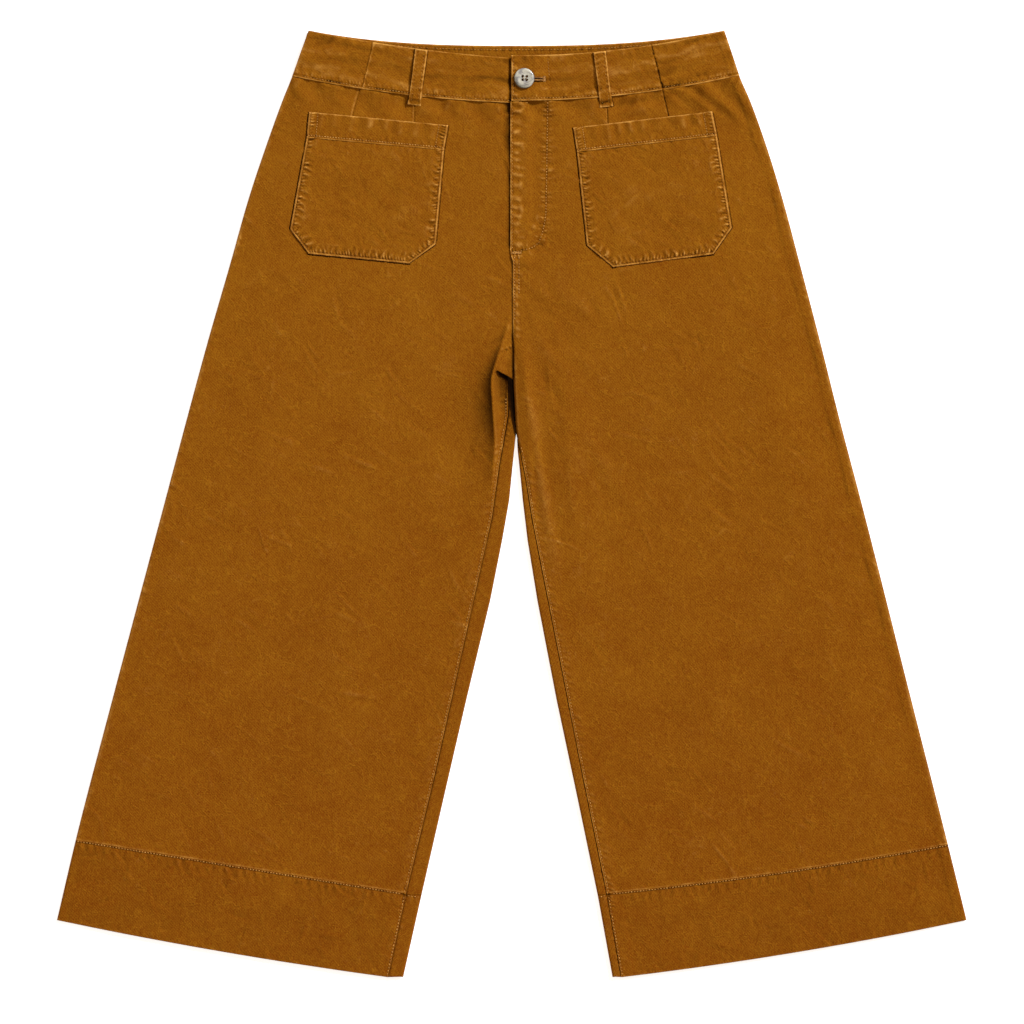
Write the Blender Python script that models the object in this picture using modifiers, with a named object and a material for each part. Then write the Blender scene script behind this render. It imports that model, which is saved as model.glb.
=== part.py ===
"""Wide culottes in brushed cotton, laid out flat on their back.

Frame: metres, +Z up. The waist points to +Y, the wearer's left is +X, and the backs rest on z = 0.
The sizes and tables below are in millimetres. Each cut piece is one surface, given its wall by Solidify.
"""
import math

import bmesh
import bpy
import numpy as np

MM = 0.001

# Cloth, and how its layers lie
WALL = 1.2             # one layer of cloth with its allowances
HEM_WALL = 1.6         # deep hem of the fronts, turned up
BAND_WALL = 2.0        # waistband, two layers
LOOP_WALL = 1.5        # belt loop, folded strip
GAP = 0.3              # between pieces at a seam, and between layers that lie on each other
CROWN = 1.6            # the fronts rise this far off the backs, inside the side seams
CROWN_WIDTH = 60.0     # and do so over this width

# Fly and waistband tab: the left side laps over the right one
FLY_END = 221.0        # lower end of the lap
FLY_UNDERLAP = 10.0    # the right front runs on this far beneath the left one
LAP_RAMP = (12.0, 21.0)      # across this stretch of x the left front comes down off the lap
LAP_TAIL = 8.0         # the lift lasts this far below the fly's end, and goes in as much again
TAB_EDGE = -0.4        # free end of the waistband's tab
TAB_UNDERLAP = 17.0    # the right waistband runs on this far beneath the tab
TAB_RAMP = (19.0, 36.0)

# Belt loops
LOOP_WIDTH = 10.6
LOOP_BULGE = 1.1       # how far a loop stands off the waistband at mid length
LOOP_STEP = 7.0        # length below the waist seam over which a loop comes down to the front

# Button
BUTTON_CENTRE = (10.9, 373.9)
BUTTON_RADIUS = 9.0
BUTTON_HEIGHT = 3.0
BUTTON_DISH = 0.9      # depth of the dished middle
BUTTON_DISH_RADIUS = 6.2
BUTTON_HOLE_RADIUS = 0.95
BUTTON_HOLE_PITCH = 3.6

CLOTH_COLOUR = (0.258, 0.084, 0.0075, 1.0)
BUTTON_COLOUR = (0.40, 0.37, 0.33, 1.0)


def table(columns, rows):
    """A table with named columns, as one array for each column."""
    return dict(zip(columns.split(), np.array(rows, dtype=float).T))


# Side seams: distance of the right and of the left one from the middle, waistband top to hem edge
SIDE_SEAM = table("y right left", [
    (416.4, 178.8, 186.9),
    (396.7, 186.4, 194.3),
    (376.2, 193.2, 200.4),
    (355.3, 201.5, 209.4),
    (320.1, 214.3, 222.2),
    (267.3, 231.9, 238.5),
    (214.5, 246.8, 252.6),
    (144.1, 267.1, 271.0),
    (73.7, 286.2, 288.6),
    (3.3, 304.9, 307.1),
    (-172.7, 351.6, 351.6),
    (-295.9, 383.7, 382.8),
    (-366.3, 400.2, 400.2),
])

# Lines across each side: y at the side seam, y at the inner edge, and how far the line sags between
ACROSS = {
    "right": table("side inner sag", [
        (416.4, 392.2, 3.2),       # top of the waistband
        (375.9, 352.4, 4.3),       # waist seam
        (-296.8, -343.8, 0.0),     # hem seam
        (-366.3, -416.4, 2.7),     # hem edge
    ]),
    "left": table("side inner sag", [
        (416.4, 394.4, 6.0),
        (376.8, 354.2, 6.0),
        (-300.5, -343.8, 3.3),
        (-366.3, -416.4, 3.5),
    ]),
}
BAND_TOP, WAIST, HEM_SEAM, HEM_EDGE = range(4)

# Inseam of each front, from where the back's roll starts down to the hem
INSEAM = {
    "right": table("y x", [
        (104.2, -4.0), (79.0, -3.4), (52.6, -7.8), (33.2, -11.3), (-12.1, -17.6),
        (-243.1, -69.0), (-342.8, -93.2), (-416.4, -109.0),
    ]),
    "left": table("y x", [
        (42.3, 8.6), (25.7, 11.8), (6.8, 15.0), (-13.7, 18.2),
        (-243.1, 63.4), (-343.8, 83.9), (-416.4, 96.5),
    ]),
}

# Inner edge of each front above its inseam: centre front, then the free edge below the crotch
CENTRE_EDGE = {
    "right": table("y x", [(360.0, 0.6), (139.7, 0.6), (104.2, 0.4)]),
    "left": table("y x", [
        (360.0, -1.3), (221.0, -1.3), (213.0, 0.9), (123.0, 0.9), (104.0, 2.2), (91.3, 3.1),
        (69.3, 4.1), (50.0, 5.0), (42.3, 5.4),
    ]),
}

# Edge of each back where it lies flat above the start of its roll
BACK_EDGE = {
    "right": table("y x", [(376.0, 3.45), (139.7, 1.05), (104.2, 0.8)]),
    "left": table("y x", [(376.0, 3.75), (139.7, 1.35), (104.0, 1.2), (62.0, 2.2), (50.0, 5.0)]),
}

# Inner fold of each leg, where the back rolls over on to the front
FOLD_EDGE = {
    "right": table("y x", [
        (110.7, 0.4), (69.3, 1.7), (47.3, 1.8), (29.7, 0.4), (3.3, -2.2), (-31.9, -8.4),
        (-84.7, -18.9), (-172.7, -40.0), (-260.7, -60.3), (-345.2, -79.6), (-416.4, -95.5),
    ]),
    "left": table("y x", [
        (110.7, 1.6), (69.3, 4.1), (47.3, 5.1), (29.7, 7.0), (3.3, 9.6), (-31.9, 13.8),
        (-84.7, 22.4), (-172.7, 39.4), (-260.7, 58.1), (-345.2, 75.7), (-416.4, 88.6),
    ]),
}
ROLL_START = {"right": 103.9, "left": 42.0}

# Rows of each leg, shared by its front and its back: (y at the inner edge, steps to the next)
LEG_ROWS = {
    "right": ((118.0, 4), (ROLL_START["right"] + GAP, 1), (ROLL_START["right"], 9), (-12.1, 10)),
    "left": ((62.0, 2), (ROLL_START["left"] + GAP, 1), (ROLL_START["left"], 5), (-13.7, 10)),
}

# Crotch fold: a sharp ridge on the right front, with a wide flank outwards and a short one inwards
RIDGE = table("y x height flank", [
    (172.0, 0.0, 0.0, 9.0),
    (158.0, -3.3, 2.0, 10.0),
    (144.0, -7.5, 4.6, 12.0),
    (127.0, -13.0, 7.4, 15.0),
    (113.5, -16.9, 8.5, 16.0),
    (109.5, -17.6, 8.6, 7.5),
    (93.6, -17.2, 8.0, 7.0),
    (72.6, -15.8, 6.4, 6.0),
    (54.0, -14.9, 4.8, 5.0),
    (29.7, -16.5, 2.4, 5.0),
    (-5.0, -20.0, 0.0, 5.0),
])
RIDGE_OUTER_FLANK = 46.0

# Soft folds of the fronts: ends, half width and height, a trough where the height is negative
FOLDS = table("x0 y0 x1 y1 width height", [
    (9.0, 160.0, 15.0, 15.0, 8.0, 2.2),          # rounded inner edge of the left leg
    (-5.0, 122.0, -6.0, 40.0, 6.0, -1.2),        # hollow inside the crotch fold
    (44.0, 110.0, 57.0, -40.0, 12.0, 1.3),       # long crease down the left thigh
    (26.0, 150.0, 80.0, 20.0, 12.0, 1.0),        # slanting crease from the crotch, left
    (-62.0, 150.0, -44.0, -30.0, 18.0, -0.8),    # hollow outside the crotch fold
    (-190.0, 120.0, -250.0, -60.0, 22.0, 0.9),   # right thigh
    (205.0, 150.0, 262.0, -30.0, 22.0, 0.9),     # left thigh
    (-120.0, -60.0, -165.0, -230.0, 26.0, 0.8),  # right shin
    (150.0, -40.0, 190.0, -240.0, 26.0, 0.8),    # left shin
])
EDGE_ROLL = 6.0        # width over which the left front turns down to its free inner edge

# Back waistband: y at the sides and dip in the middle, at its top and at its seam
BACK_BAND = table("side dip", [(416.4, 13.4), (377.4, 15.4)])
BACK_BAND_POWER = 2.6
BAND_JOIN = {"right": (-122.2, -132.4), "left": (122.9, 132.9)}   # x of its front joins, top and seam

# Belt loops: x and y of the top and lower end of the centre line
LOOPS = {"right": (-79.5, 399.3, -85.9, 350.4), "left": (77.1, 397.3, 83.2, 348.8)}

# Patch pockets: outline of the outer and of the inner side, top corner, chamfer, lower corner
POCKETS = {
    "right": table("outer_x outer_y inner_x inner_y", [
        (-178.1, 344.7, -56.1, 332.9),
        (-180.2, 321.9, -59.8, 311.1),      # lower edge of the band
        (-194.7, 241.4, -67.2, 228.1),
        (-178.6, 220.0, -90.2, 211.4),
    ]),
    "left": table("outer_x outer_y inner_x inner_y", [
        (176.0, 345.1, 54.2, 330.8),
        (180.2, 323.6, 57.6, 309.2),
        (193.2, 242.6, 66.4, 227.1),
        (177.2, 219.6, 89.1, 208.2),
    ]),
}

SIGN = {"right": -1.0, "left": 1.0}


def mix(a, b, t):
    return a + (b - a) * t


def ease(t):
    """Smooth step from 0 to 1."""
    t = np.clip(t, 0.0, 1.0)
    return t * t * (3 - 2 * t)


def read(curve, column, y):
    """A column of a table read at y along straight stretches."""
    return np.interp(y, curve["y"][::-1], curve[column][::-1])


def read_smooth(curve, column, y):
    """A column of a table read at y along a cubic that passes through every row."""
    rows = curve["y"][::-1]
    values = curve[column][::-1]
    slopes = np.gradient(values, rows)
    y = np.clip(y, rows[0], rows[-1])
    k = np.clip(np.searchsorted(rows, y) - 1, 0, len(rows) - 2)
    step = rows[k + 1] - rows[k]
    t = (y - rows[k]) / step
    ends = values[k] * (1 + 2 * t) * (1 - t) ** 2 + values[k + 1] * t ** 2 * (3 - 2 * t)
    return ends + step * (slopes[k] * t * (1 - t) ** 2 - slopes[k + 1] * t ** 2 * (1 - t))


def stations(*stops):
    """Values of y from (y, steps to the next stop) pairs."""
    runs = [np.linspace(a[0], b[0], a[1], endpoint=False) for a, b in zip(stops, stops[1:])]
    return np.concatenate(runs + [[stops[-1][0]]])


def side_x(side, y):
    return SIGN[side] * read_smooth(SIDE_SEAM, side, y)


def across(side, line, x):
    """y at x of a line across one side: straight from side seam to inner edge, less its sag."""
    lines = ACROSS[side]
    outer_y = lines["side"][line]
    inner_y = lines["inner"][line]
    u = (x - side_x(side, outer_y)) / (read(CENTRE_EDGE[side], "x", inner_y) - side_x(side, outer_y))
    return mix(outer_y, inner_y, u) - 4 * lines["sag"][line] * u * (1 - u)


# Heights: the upper surface of each layer, as a function of place

def crown(x, y):
    """Rise of the front layer, from nothing at a side seam to CROWN inside it."""
    edge = np.where(x < 0, read_smooth(SIDE_SEAM, "right", y), read_smooth(SIDE_SEAM, "left", y))
    return CROWN * ease((edge - np.abs(x)) / CROWN_WIDTH)


def crotch_ridge(x, y):
    """A hollow-sided slope up to the ridge on the outside, and a rounded drop on the inside."""
    distance = x - read_smooth(RIDGE, "x", y)
    outer = np.clip(1 + distance / RIDGE_OUTER_FLANK, 0, 1) ** 2.2
    inner = 1 - ease(distance / read(RIDGE, "flank", y))
    return np.maximum(read_smooth(RIDGE, "height", y), 0) * np.where(distance < 0, outer, inner)


def soft_folds(x, y):
    """Sum of bell-shaped folds that fade out at both ends."""
    total = np.zeros_like(x)
    for x0, y0, x1, y1, width, height in zip(*FOLDS.values()):
        length = math.hypot(x1 - x0, y1 - y0)
        ux, uy = (x1 - x0) / length, (y1 - y0) / length
        along = ((x - x0) * ux + (y - y0) * uy) / length
        off = (x - x0) * uy - (y - y0) * ux
        fade = np.sin(math.pi * np.clip(along, 0, 1))
        total += height * fade * np.exp(-(off / width) ** 2)
    return total


def front_top(x, y):
    """Upper surface of the fronts, never closer to the backs than the clearance."""
    lowest = 2 * WALL + GAP
    return np.maximum(lowest + crown(x, y) + crotch_ridge(x, y) + soft_folds(x, y), lowest)


def fly_lap(x, y):
    """How far the left front is lifted over the right one's underlap."""
    sideways = 1 - ease((x - LAP_RAMP[0]) / (LAP_RAMP[1] - LAP_RAMP[0]))
    return (WALL + GAP) * sideways * ease((y - FLY_END + 2 * LAP_TAIL) / LAP_TAIL)


def band_top(x, y):
    """Upper surface of the front waistband."""
    return 2 * BAND_WALL + GAP + crown(x, y)


def tab_lift(x):
    return (BAND_WALL + GAP) * (1 - ease((x - TAB_RAMP[0]) / (TAB_RAMP[1] - TAB_RAMP[0])))


# Making the pieces

def material(name, colour, roughness):
    made = bpy.data.materials.new(name)
    made.use_nodes = True
    shader = made.node_tree.nodes["Principled BSDF"]
    shader.inputs["Base Color"].default_value = colour
    shader.inputs["Roughness"].default_value = roughness
    shader.inputs["Metallic"].default_value = 0.0
    return made


def add_object(name, mesh, finish, collection):
    mesh.materials.append(finish)
    made = bpy.data.objects.new(name, mesh)
    collection.objects.link(made)
    return made


def cloth(name, points, wall, faces_up, collection, keep=None):
    """A piece of cloth from a grid of points (rows, columns, xyz) on its outer surface.

    keep marks the grid's cells that are cloth. The wall grows inwards from the given surface.
    """
    rows, columns = points.shape[:2]
    index = np.arange(rows * columns).reshape(rows, columns)
    cells = np.stack([index[:-1, :-1], index[1:, :-1], index[1:, 1:], index[:-1, 1:]], axis=-1)
    faces = cells.reshape(-1, 4) if keep is None else cells[keep]
    a, b, c = (points.reshape(-1, 3)[faces[0, k]] for k in range(3))
    if (np.cross(b - a, c - a)[2] > 0) != faces_up:
        faces = faces[:, ::-1]
    used, local = np.unique(faces, return_inverse=True)
    mesh = bpy.data.meshes.new(name)
    mesh.from_pydata((points.reshape(-1, 3)[used] * MM).tolist(), [], local.reshape(-1, 4).tolist())
    mesh.shade_smooth()
    finish = material(name + "_cotton", CLOTH_COLOUR, 0.9)
    made = add_object(name, mesh, finish, collection)
    solidify = made.modifiers.new("wall", "SOLIDIFY")
    solidify.thickness = wall * MM
    solidify.offset = -1.0
    solidify.use_even_offset = True
    return made


def lift(x, y, height):
    return np.stack([x, y, height], axis=-1)


def panel_rows(side, upper, lower, inner_y):
    """For rows that end at inner_y: side seam ends, inner edge ends, and sag, each as a column."""
    lines = ACROSS[side]
    v = (inner_y - lines["inner"][upper]) / (lines["inner"][lower] - lines["inner"][upper])
    outer_y = mix(lines["side"][upper], lines["side"][lower], v)
    sag = mix(lines["sag"][upper], lines["sag"][lower], v)
    return outer_y[:, None], inner_y[:, None], sag[:, None]


def front_grid(side, upper, lower, inner_y, columns, crowding, tuck_columns=0):
    """Points x, y of a front piece: rows from side seam to inseam, closer together inwards.

    Tuck columns carry the rows above the inseam on to the centre edge.
    """
    outer_y, edge_y, sag = panel_rows(side, upper, lower, inner_y)
    outer_x = side_x(side, outer_y)
    inseam_x = read(INSEAM[side], "x", edge_y)
    centre_x = read(CENTRE_EDGE[side], "x", edge_y)
    s = 1 - np.linspace(1, 0, columns + 1)[None, :] ** crowding
    x = mix(outer_x, inseam_x, s)
    if tuck_columns:
        tuck = np.linspace(0, 1, tuck_columns + 1)[None, 1:]
        x = np.concatenate([x, mix(inseam_x, centre_x, tuck)], axis=1)
    above = edge_y > ROLL_START[side] + GAP / 2
    u = (x - outer_x) / (np.where(above, centre_x, inseam_x) - outer_x)
    return x, mix(outer_y, edge_y, u) - 4 * sag * u * (1 - u)


def kept_cells(shape, side, inner_y, first_tuck):
    """All cells of a front but those of the tuck columns beside the inseam."""
    keep = np.ones((shape[0] - 1, shape[1] - 1), dtype=bool)
    keep[:, first_tuck:] = (inner_y[1:] > ROLL_START[side] + GAP / 2)[:, None]
    return keep


def build_front_right(collection):
    """Right front, with the strip that runs on beneath the fly."""
    lines = ACROSS["right"]
    inner_y = stations((lines["inner"][WAIST] - GAP / 2, 6), (FLY_END, 4), (170.0, 5),
                       *LEG_ROWS["right"], (lines["inner"][HEM_SEAM] + GAP / 2, 0))
    columns = 17
    x, y = front_grid("right", WAIST, HEM_SEAM, inner_y, columns, 1.7, 2)
    beneath_fly = x[:, -1:] + FLY_UNDERLAP * np.array([[0.5, 1.0]])
    x = np.concatenate([x, beneath_fly], axis=1)
    y = np.concatenate([y, np.repeat(y[:, -1:], 2, axis=1)], axis=1)
    keep = kept_cells(x.shape, "right", inner_y, columns)
    keep[:, -2:] = (inner_y[1:] >= FLY_END)[:, None]
    cloth("front_right", lift(x, y, front_top(x, y)), WALL, True, collection, keep)


def build_front_left(collection):
    """Left front: lapped over at the fly, turned down at its free edge below the crotch."""
    lines = ACROSS["left"]
    inner_y = stations((lines["inner"][WAIST] - GAP / 2, 6), (FLY_END, 1), (FLY_END - LAP_TAIL, 2),
                       (FLY_END - 2 * LAP_TAIL, 3), (160.0, 8), *LEG_ROWS["left"],
                       (lines["inner"][HEM_SEAM] + GAP / 2, 0))
    columns = 15
    x, y = front_grid("left", WAIST, HEM_SEAM, inner_y, columns, 1.7, 3)
    height = front_top(x, y)
    lowest = 2 * (WALL + GAP)
    turned = ease((150.0 - y) / 20.0) * ease((y - ROLL_START["left"]) / 12.0)
    from_edge = x - read(CENTRE_EDGE["left"], "x", y)
    height = mix(height, mix(lowest, height, ease(from_edge / EDGE_ROLL)), turned)
    keep = kept_cells(x.shape, "left", inner_y, columns)
    cloth("front_left", lift(x, y, height + fly_lap(x, y)), WALL, True, collection, keep)


def roll_over(side, outer, inner_y, top, flat_columns):
    """Rows of a back piece: flat from the side seam, round the inner fold, back to the inseam.

    outer holds the rows' ends (x, y) at the side seam, inner_y their y at the fold and the inseam,
    and top is the upper surface at a place. The surface is the outside of the cloth, so it is level
    at z = 0 and half a circle at the fold. Also gives the ends of the flat stretch.
    """
    fold = np.stack([read(FOLD_EDGE[side], "x", inner_y), inner_y], axis=1)
    inseam_x = read(INSEAM[side], "x", inner_y) - SIGN[side] * GAP
    inseam = np.stack([inseam_x, inner_y], axis=1)
    span = fold - outer
    way = span / np.linalg.norm(span, axis=-1, keepdims=True)
    radius = top(fold[:, 0], fold[:, 1])[:, None] / 2
    tangent = fold - way * radius
    radius = top(tangent[:, 0], tangent[:, 1])[:, None] / 2
    tangent = fold - way * radius
    points = []
    for u in np.linspace(0, 1, flat_columns + 1):
        xy = mix(outer, tangent, u)
        points.append(lift(xy[:, 0], xy[:, 1], np.zeros(len(xy))))
    for angle in np.linspace(0, math.pi, 7)[1:]:
        xy = tangent + way * radius * math.sin(angle)
        points.append(lift(xy[:, 0], xy[:, 1], radius[:, 0] * (1 - math.cos(angle))))
    for u in (0.5, 1.0):
        xy = mix(tangent, inseam, u)
        points.append(lift(xy[:, 0], xy[:, 1], top(xy[:, 0], xy[:, 1])))
    return np.stack(points, axis=1), tangent


def back_band_y(line, x):
    """y at x of the back waistband's top or seam: level at the sides, dipping between them."""
    outer = BACK_BAND["side"][line]
    right, left = side_x("right", outer), side_x("left", outer)
    u = (x - right) / (left - right)
    return outer - BACK_BAND["dip"][line] * (1 - np.abs(2 * u - 1) ** BACK_BAND_POWER)


def build_back(side, collection):
    """One back: flat under the garment, rolled over the inner leg below ROLL_START."""
    lines = ACROSS[side]
    centre_y = back_band_y(1, BACK_EDGE[side]["x"][0]) - GAP
    inner_y = stations((centre_y, 7), (140.0, 2), *LEG_ROWS[side],
                       (lines["inner"][HEM_SEAM] + GAP / 2, 0))
    v = ((inner_y - centre_y) / (inner_y[-1] - centre_y))[:, None]
    outer_y = mix(BACK_BAND["side"][1], lines["side"][HEM_SEAM] + GAP / 2, v)
    outer = np.concatenate([side_x(side, outer_y), outer_y], axis=1)
    columns = 6
    points, tangent = roll_over(side, outer, inner_y, front_top, columns)
    rolled = inner_y <= ROLL_START[side] + 0.01
    edge = np.stack([read(BACK_EDGE[side], "x", inner_y), inner_y], axis=1)
    inner = np.where(rolled[:, None], tangent, edge)
    u = np.linspace(0, 1, columns + 1)[None, :, None]
    points[:, :columns + 1, :2] = mix(outer[:, None, :], inner[:, None, :], u)
    x = points[:, :columns + 1, 0]
    straight = mix(outer_y[0], inner_y[0], u[..., 0])
    dip = straight - (back_band_y(1, x[:1]) - GAP)
    points[:, :columns + 1, 1] -= dip * (1 - v)
    keep = np.ones((points.shape[0] - 1, points.shape[1] - 1), dtype=bool)
    keep[:, columns:] = rolled[:-1, None]
    cloth("back_" + side, points, WALL, False, collection, keep)


def build_hems(side, collection):
    """Deep hem bands: the front one a little thicker than the cloth, the back one rolled over."""
    lines = ACROSS[side]

    def hem_top(x, y):
        return front_top(x, y) + HEM_WALL - WALL

    inner_y = np.linspace(lines["inner"][HEM_SEAM] - GAP / 2, lines["inner"][HEM_EDGE], 4)
    x, y = front_grid(side, HEM_SEAM, HEM_EDGE, inner_y, 12, 1.3)
    cloth("hem_front_" + side, lift(x, y, hem_top(x, y)), HEM_WALL, True, collection)

    outer_y = panel_rows(side, HEM_SEAM, HEM_EDGE, inner_y)[0]
    outer = np.concatenate([side_x(side, outer_y), outer_y], axis=1)
    points = roll_over(side, outer, inner_y, hem_top, 6)[0]
    cloth("hem_back_" + side, points, WALL, False, collection)


def band_piece(name, side, outer_x, inner_x, columns, lifted, collection, underlap=()):
    """A front waistband piece between two joins, given by their x at the top and at the seam.

    underlap gives the x of further columns, which stay clear of the top of the left front.
    """
    s = np.linspace(0, 1, columns + 1)[None, :]
    t = np.linspace(0, 1, 5)[:, None]
    x = mix(mix(outer_x[0], outer_x[1], t), mix(inner_x[0], inner_x[1], t), s)
    x = np.concatenate([x, np.ones_like(t) * np.array(underlap)], axis=1)
    seam_y = across(side, WAIST, x)
    seam_y[:, columns + 1:] = across("left", WAIST, x[:, columns + 1:])
    y = mix(across(side, BAND_TOP, x), seam_y + GAP / 2, t)
    cloth(name, lift(x, y, band_top(x, y) + lifted(x)), BAND_WALL, True, collection)


def build_waistband(collection):
    for side in ("right", "left"):
        outer_x = [side_x(side, ACROSS[side]["side"][line]) for line in (BAND_TOP, WAIST)]
        inner_x = [x + SIGN[side] * GAP / 2 for x in BAND_JOIN[side]]
        band_piece("waistband_front_side_" + side, side, outer_x, inner_x, 6, np.zeros_like, collection)
    joins = {side: [x - SIGN[side] * GAP / 2 for x in BAND_JOIN[side]] for side in BAND_JOIN}
    front_edge = CENTRE_EDGE["left"]["x"][0]
    band_piece("waistband_front_mid_right", "right", joins["right"], (front_edge - 2 * GAP,) * 2,
               9, np.zeros_like, collection, (front_edge - GAP, TAB_UNDERLAP / 2, TAB_UNDERLAP))
    band_piece("waistband_front_mid_left", "left", joins["left"], (TAB_EDGE,) * 2,
               16, tab_lift, collection)

    t = np.linspace(0, 1, 4)[:, None]
    right = mix(side_x("right", BACK_BAND["side"][0]), side_x("right", BACK_BAND["side"][1]), t)
    left = mix(side_x("left", BACK_BAND["side"][0]), side_x("left", BACK_BAND["side"][1]), t)
    x = mix(right, left, np.linspace(0, 1, 17)[None, :])
    y = mix(back_band_y(0, x), back_band_y(1, x), t)
    cloth("waistband_back", lift(x, y, np.zeros_like(x)), BAND_WALL, False, collection)


def build_pocket(side, collection):
    """Patch pocket with cut-off lower corners, and the band along its top."""
    outline = POCKETS[side]

    def rows(stops):
        """Rows across the pocket at outline positions: 0 top, 1 band, 2 chamfer, 3 lower edge."""
        ends = {name: np.interp(stops, range(4), outline[name])[:, None] for name in outline}
        u = np.linspace(0, 1, 9)[None, :]
        x = mix(ends["outer_x"], ends["inner_x"], u)
        y = mix(ends["outer_y"], ends["inner_y"], u)
        return x, y

    seam = GAP / (outline["outer_y"][0] - outline["outer_y"][1]) / 2
    for name, stops in (("pocket_band_", np.linspace(0, 1 - seam, 4)),
                        ("pocket_", np.concatenate([np.linspace(1 + seam / 3, 2, 7), [2.5, 3.0]]))):
        x, y = rows(stops)
        cloth(name + side, lift(x, y, front_top(x, y) + GAP + WALL), WALL, True, collection)


def build_belt_loop(side, collection):
    """A strip that lies over the waistband, bulges a little and comes down below the waist seam."""
    x0, y0, x1, y1 = LOOPS[side]
    length = math.hypot(x1 - x0, y1 - y0)
    normal = ((y0 - y1) / length, (x1 - x0) / length)
    v = np.linspace(0, 1, 13)[:, None]
    across_strip = LOOP_WIDTH * np.linspace(-0.5, 0.5, 4)[None, :]
    x = mix(x0, x1, v) + normal[0] * across_strip
    y = mix(y0, y1, v) + normal[1] * across_strip
    over_band = ease((y - across(side, WAIST, x) + LOOP_STEP) / (LOOP_STEP - 1.0))
    height = mix(front_top(x, y), band_top(x, y), over_band)
    height = height + GAP + LOOP_WALL + LOOP_BULGE * np.sin(math.pi * v) ** 2
    cloth("belt_loop_" + side, lift(x, y, height), LOOP_WALL, True, collection)


def build_button(collection, cutters):
    """Turned button with a dished middle and four holes, lying on the tab."""
    x, y = BUTTON_CENTRE
    seat = float(band_top(np.array(x), np.array(y)) + tab_lift(np.array(x))) + GAP
    profile = (
        (0.0, BUTTON_HEIGHT - BUTTON_DISH),
        (BUTTON_DISH_RADIUS * 0.75, BUTTON_HEIGHT - BUTTON_DISH),
        (BUTTON_DISH_RADIUS, BUTTON_HEIGHT - BUTTON_DISH * 0.6),
        (BUTTON_DISH_RADIUS * 1.12, BUTTON_HEIGHT - 0.1),
        (BUTTON_RADIUS * 0.86, BUTTON_HEIGHT),
        (BUTTON_RADIUS * 0.96, BUTTON_HEIGHT * 0.86),
        (BUTTON_RADIUS, BUTTON_HEIGHT * 0.6),
        (BUTTON_RADIUS * 0.95, BUTTON_HEIGHT * 0.32),
        (BUTTON_RADIUS * 0.72, 0.0),
        (0.0, 0.0),
    )
    mesh = bpy.data.meshes.new("button")
    edges = [(k, k + 1) for k in range(len(profile) - 1)]
    mesh.from_pydata([(radius * MM, 0.0, z * MM) for radius, z in profile], edges, [])
    button = add_object("button", mesh, material("button_horn", BUTTON_COLOUR, 0.3), collection)
    button.location = (x * MM, y * MM, seat * MM)
    screw = button.modifiers.new("turned", "SCREW")
    screw.steps = screw.render_steps = 32
    screw.use_merge_vertices = True
    screw.merge_threshold = 0.00001
    screw.use_smooth_shade = True

    holes = bmesh.new()
    for across_hole in (-0.5, 0.5):
        for along_hole in (-0.5, 0.5):
            made = bmesh.ops.create_cone(holes, cap_ends=True, segments=10,
                                         radius1=BUTTON_HOLE_RADIUS * MM,
                                         radius2=BUTTON_HOLE_RADIUS * MM,
                                         depth=3 * BUTTON_HEIGHT * MM)
            shift = (across_hole * BUTTON_HOLE_PITCH * MM, along_hole * BUTTON_HOLE_PITCH * MM, 0.0)
            bmesh.ops.translate(holes, verts=made["verts"], vec=shift)
    hole_mesh = bpy.data.meshes.new("button_holes")
    holes.to_mesh(hole_mesh)
    holes.free()
    cutter = add_object("button_holes", hole_mesh, material("cutter", (1, 1, 1, 1), 1.0), cutters)
    cutter.location = button.location
    cutter.hide_render = True
    cutter.display_type = "WIRE"
    cut = button.modifiers.new("holes", "BOOLEAN")
    cut.object = cutter
    cut.operation = "DIFFERENCE"
    cut.solver = "EXACT"


def main():
    for old in list(bpy.data.objects):
        bpy.data.objects.remove(old, do_unlink=True)
    garment = bpy.data.collections.new("Culottes")
    cutters = bpy.data.collections.new("Cutters")
    for collection in (garment, cutters):
        bpy.context.scene.collection.children.link(collection)
    build_front_right(garment)
    build_front_left(garment)
    build_waistband(garment)
    for side in ("right", "left"):
        build_back(side, garment)
        build_hems(side, garment)
        build_pocket(side, garment)
        build_belt_loop(side, garment)
    build_button(garment, cutters)


main()
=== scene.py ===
"""Wide culottes in brushed cotton twill, laid out flat on their back on a pale floor.

Sizes are in millimetres until a mesh is made. The waist points to +Y, the wearer's left is +X, and
z = 0 is the surface that the backs rest on. Each piece of cloth is a thin closed shell over a grid of
two parameters, one across the piece and one down it, in the place of its solid.
"""

import math

import bpy
import numpy as np
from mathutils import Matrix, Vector


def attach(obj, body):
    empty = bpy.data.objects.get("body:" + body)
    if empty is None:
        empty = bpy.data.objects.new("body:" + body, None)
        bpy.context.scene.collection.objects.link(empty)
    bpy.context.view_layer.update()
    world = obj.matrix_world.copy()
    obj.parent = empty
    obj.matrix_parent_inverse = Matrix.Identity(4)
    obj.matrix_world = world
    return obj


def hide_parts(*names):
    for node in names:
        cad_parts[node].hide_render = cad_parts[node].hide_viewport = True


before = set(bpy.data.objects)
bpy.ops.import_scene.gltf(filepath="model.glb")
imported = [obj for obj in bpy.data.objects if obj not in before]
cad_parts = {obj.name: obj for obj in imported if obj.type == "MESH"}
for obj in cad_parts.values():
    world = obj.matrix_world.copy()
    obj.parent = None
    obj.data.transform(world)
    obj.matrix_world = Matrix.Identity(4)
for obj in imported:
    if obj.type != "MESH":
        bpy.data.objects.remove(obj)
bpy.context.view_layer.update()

MM = 0.001

# Cloth, and how its layers lie: the same as in the solids
WALL = 1.2
HEM_WALL = 1.6
BAND_WALL = 2.0
LOOP_WALL = 1.5
GAP = 0.3
CROWN = 1.6
CROWN_WIDTH = 60.0
SHELL = 0.8    # wall of the shells that are seen

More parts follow.
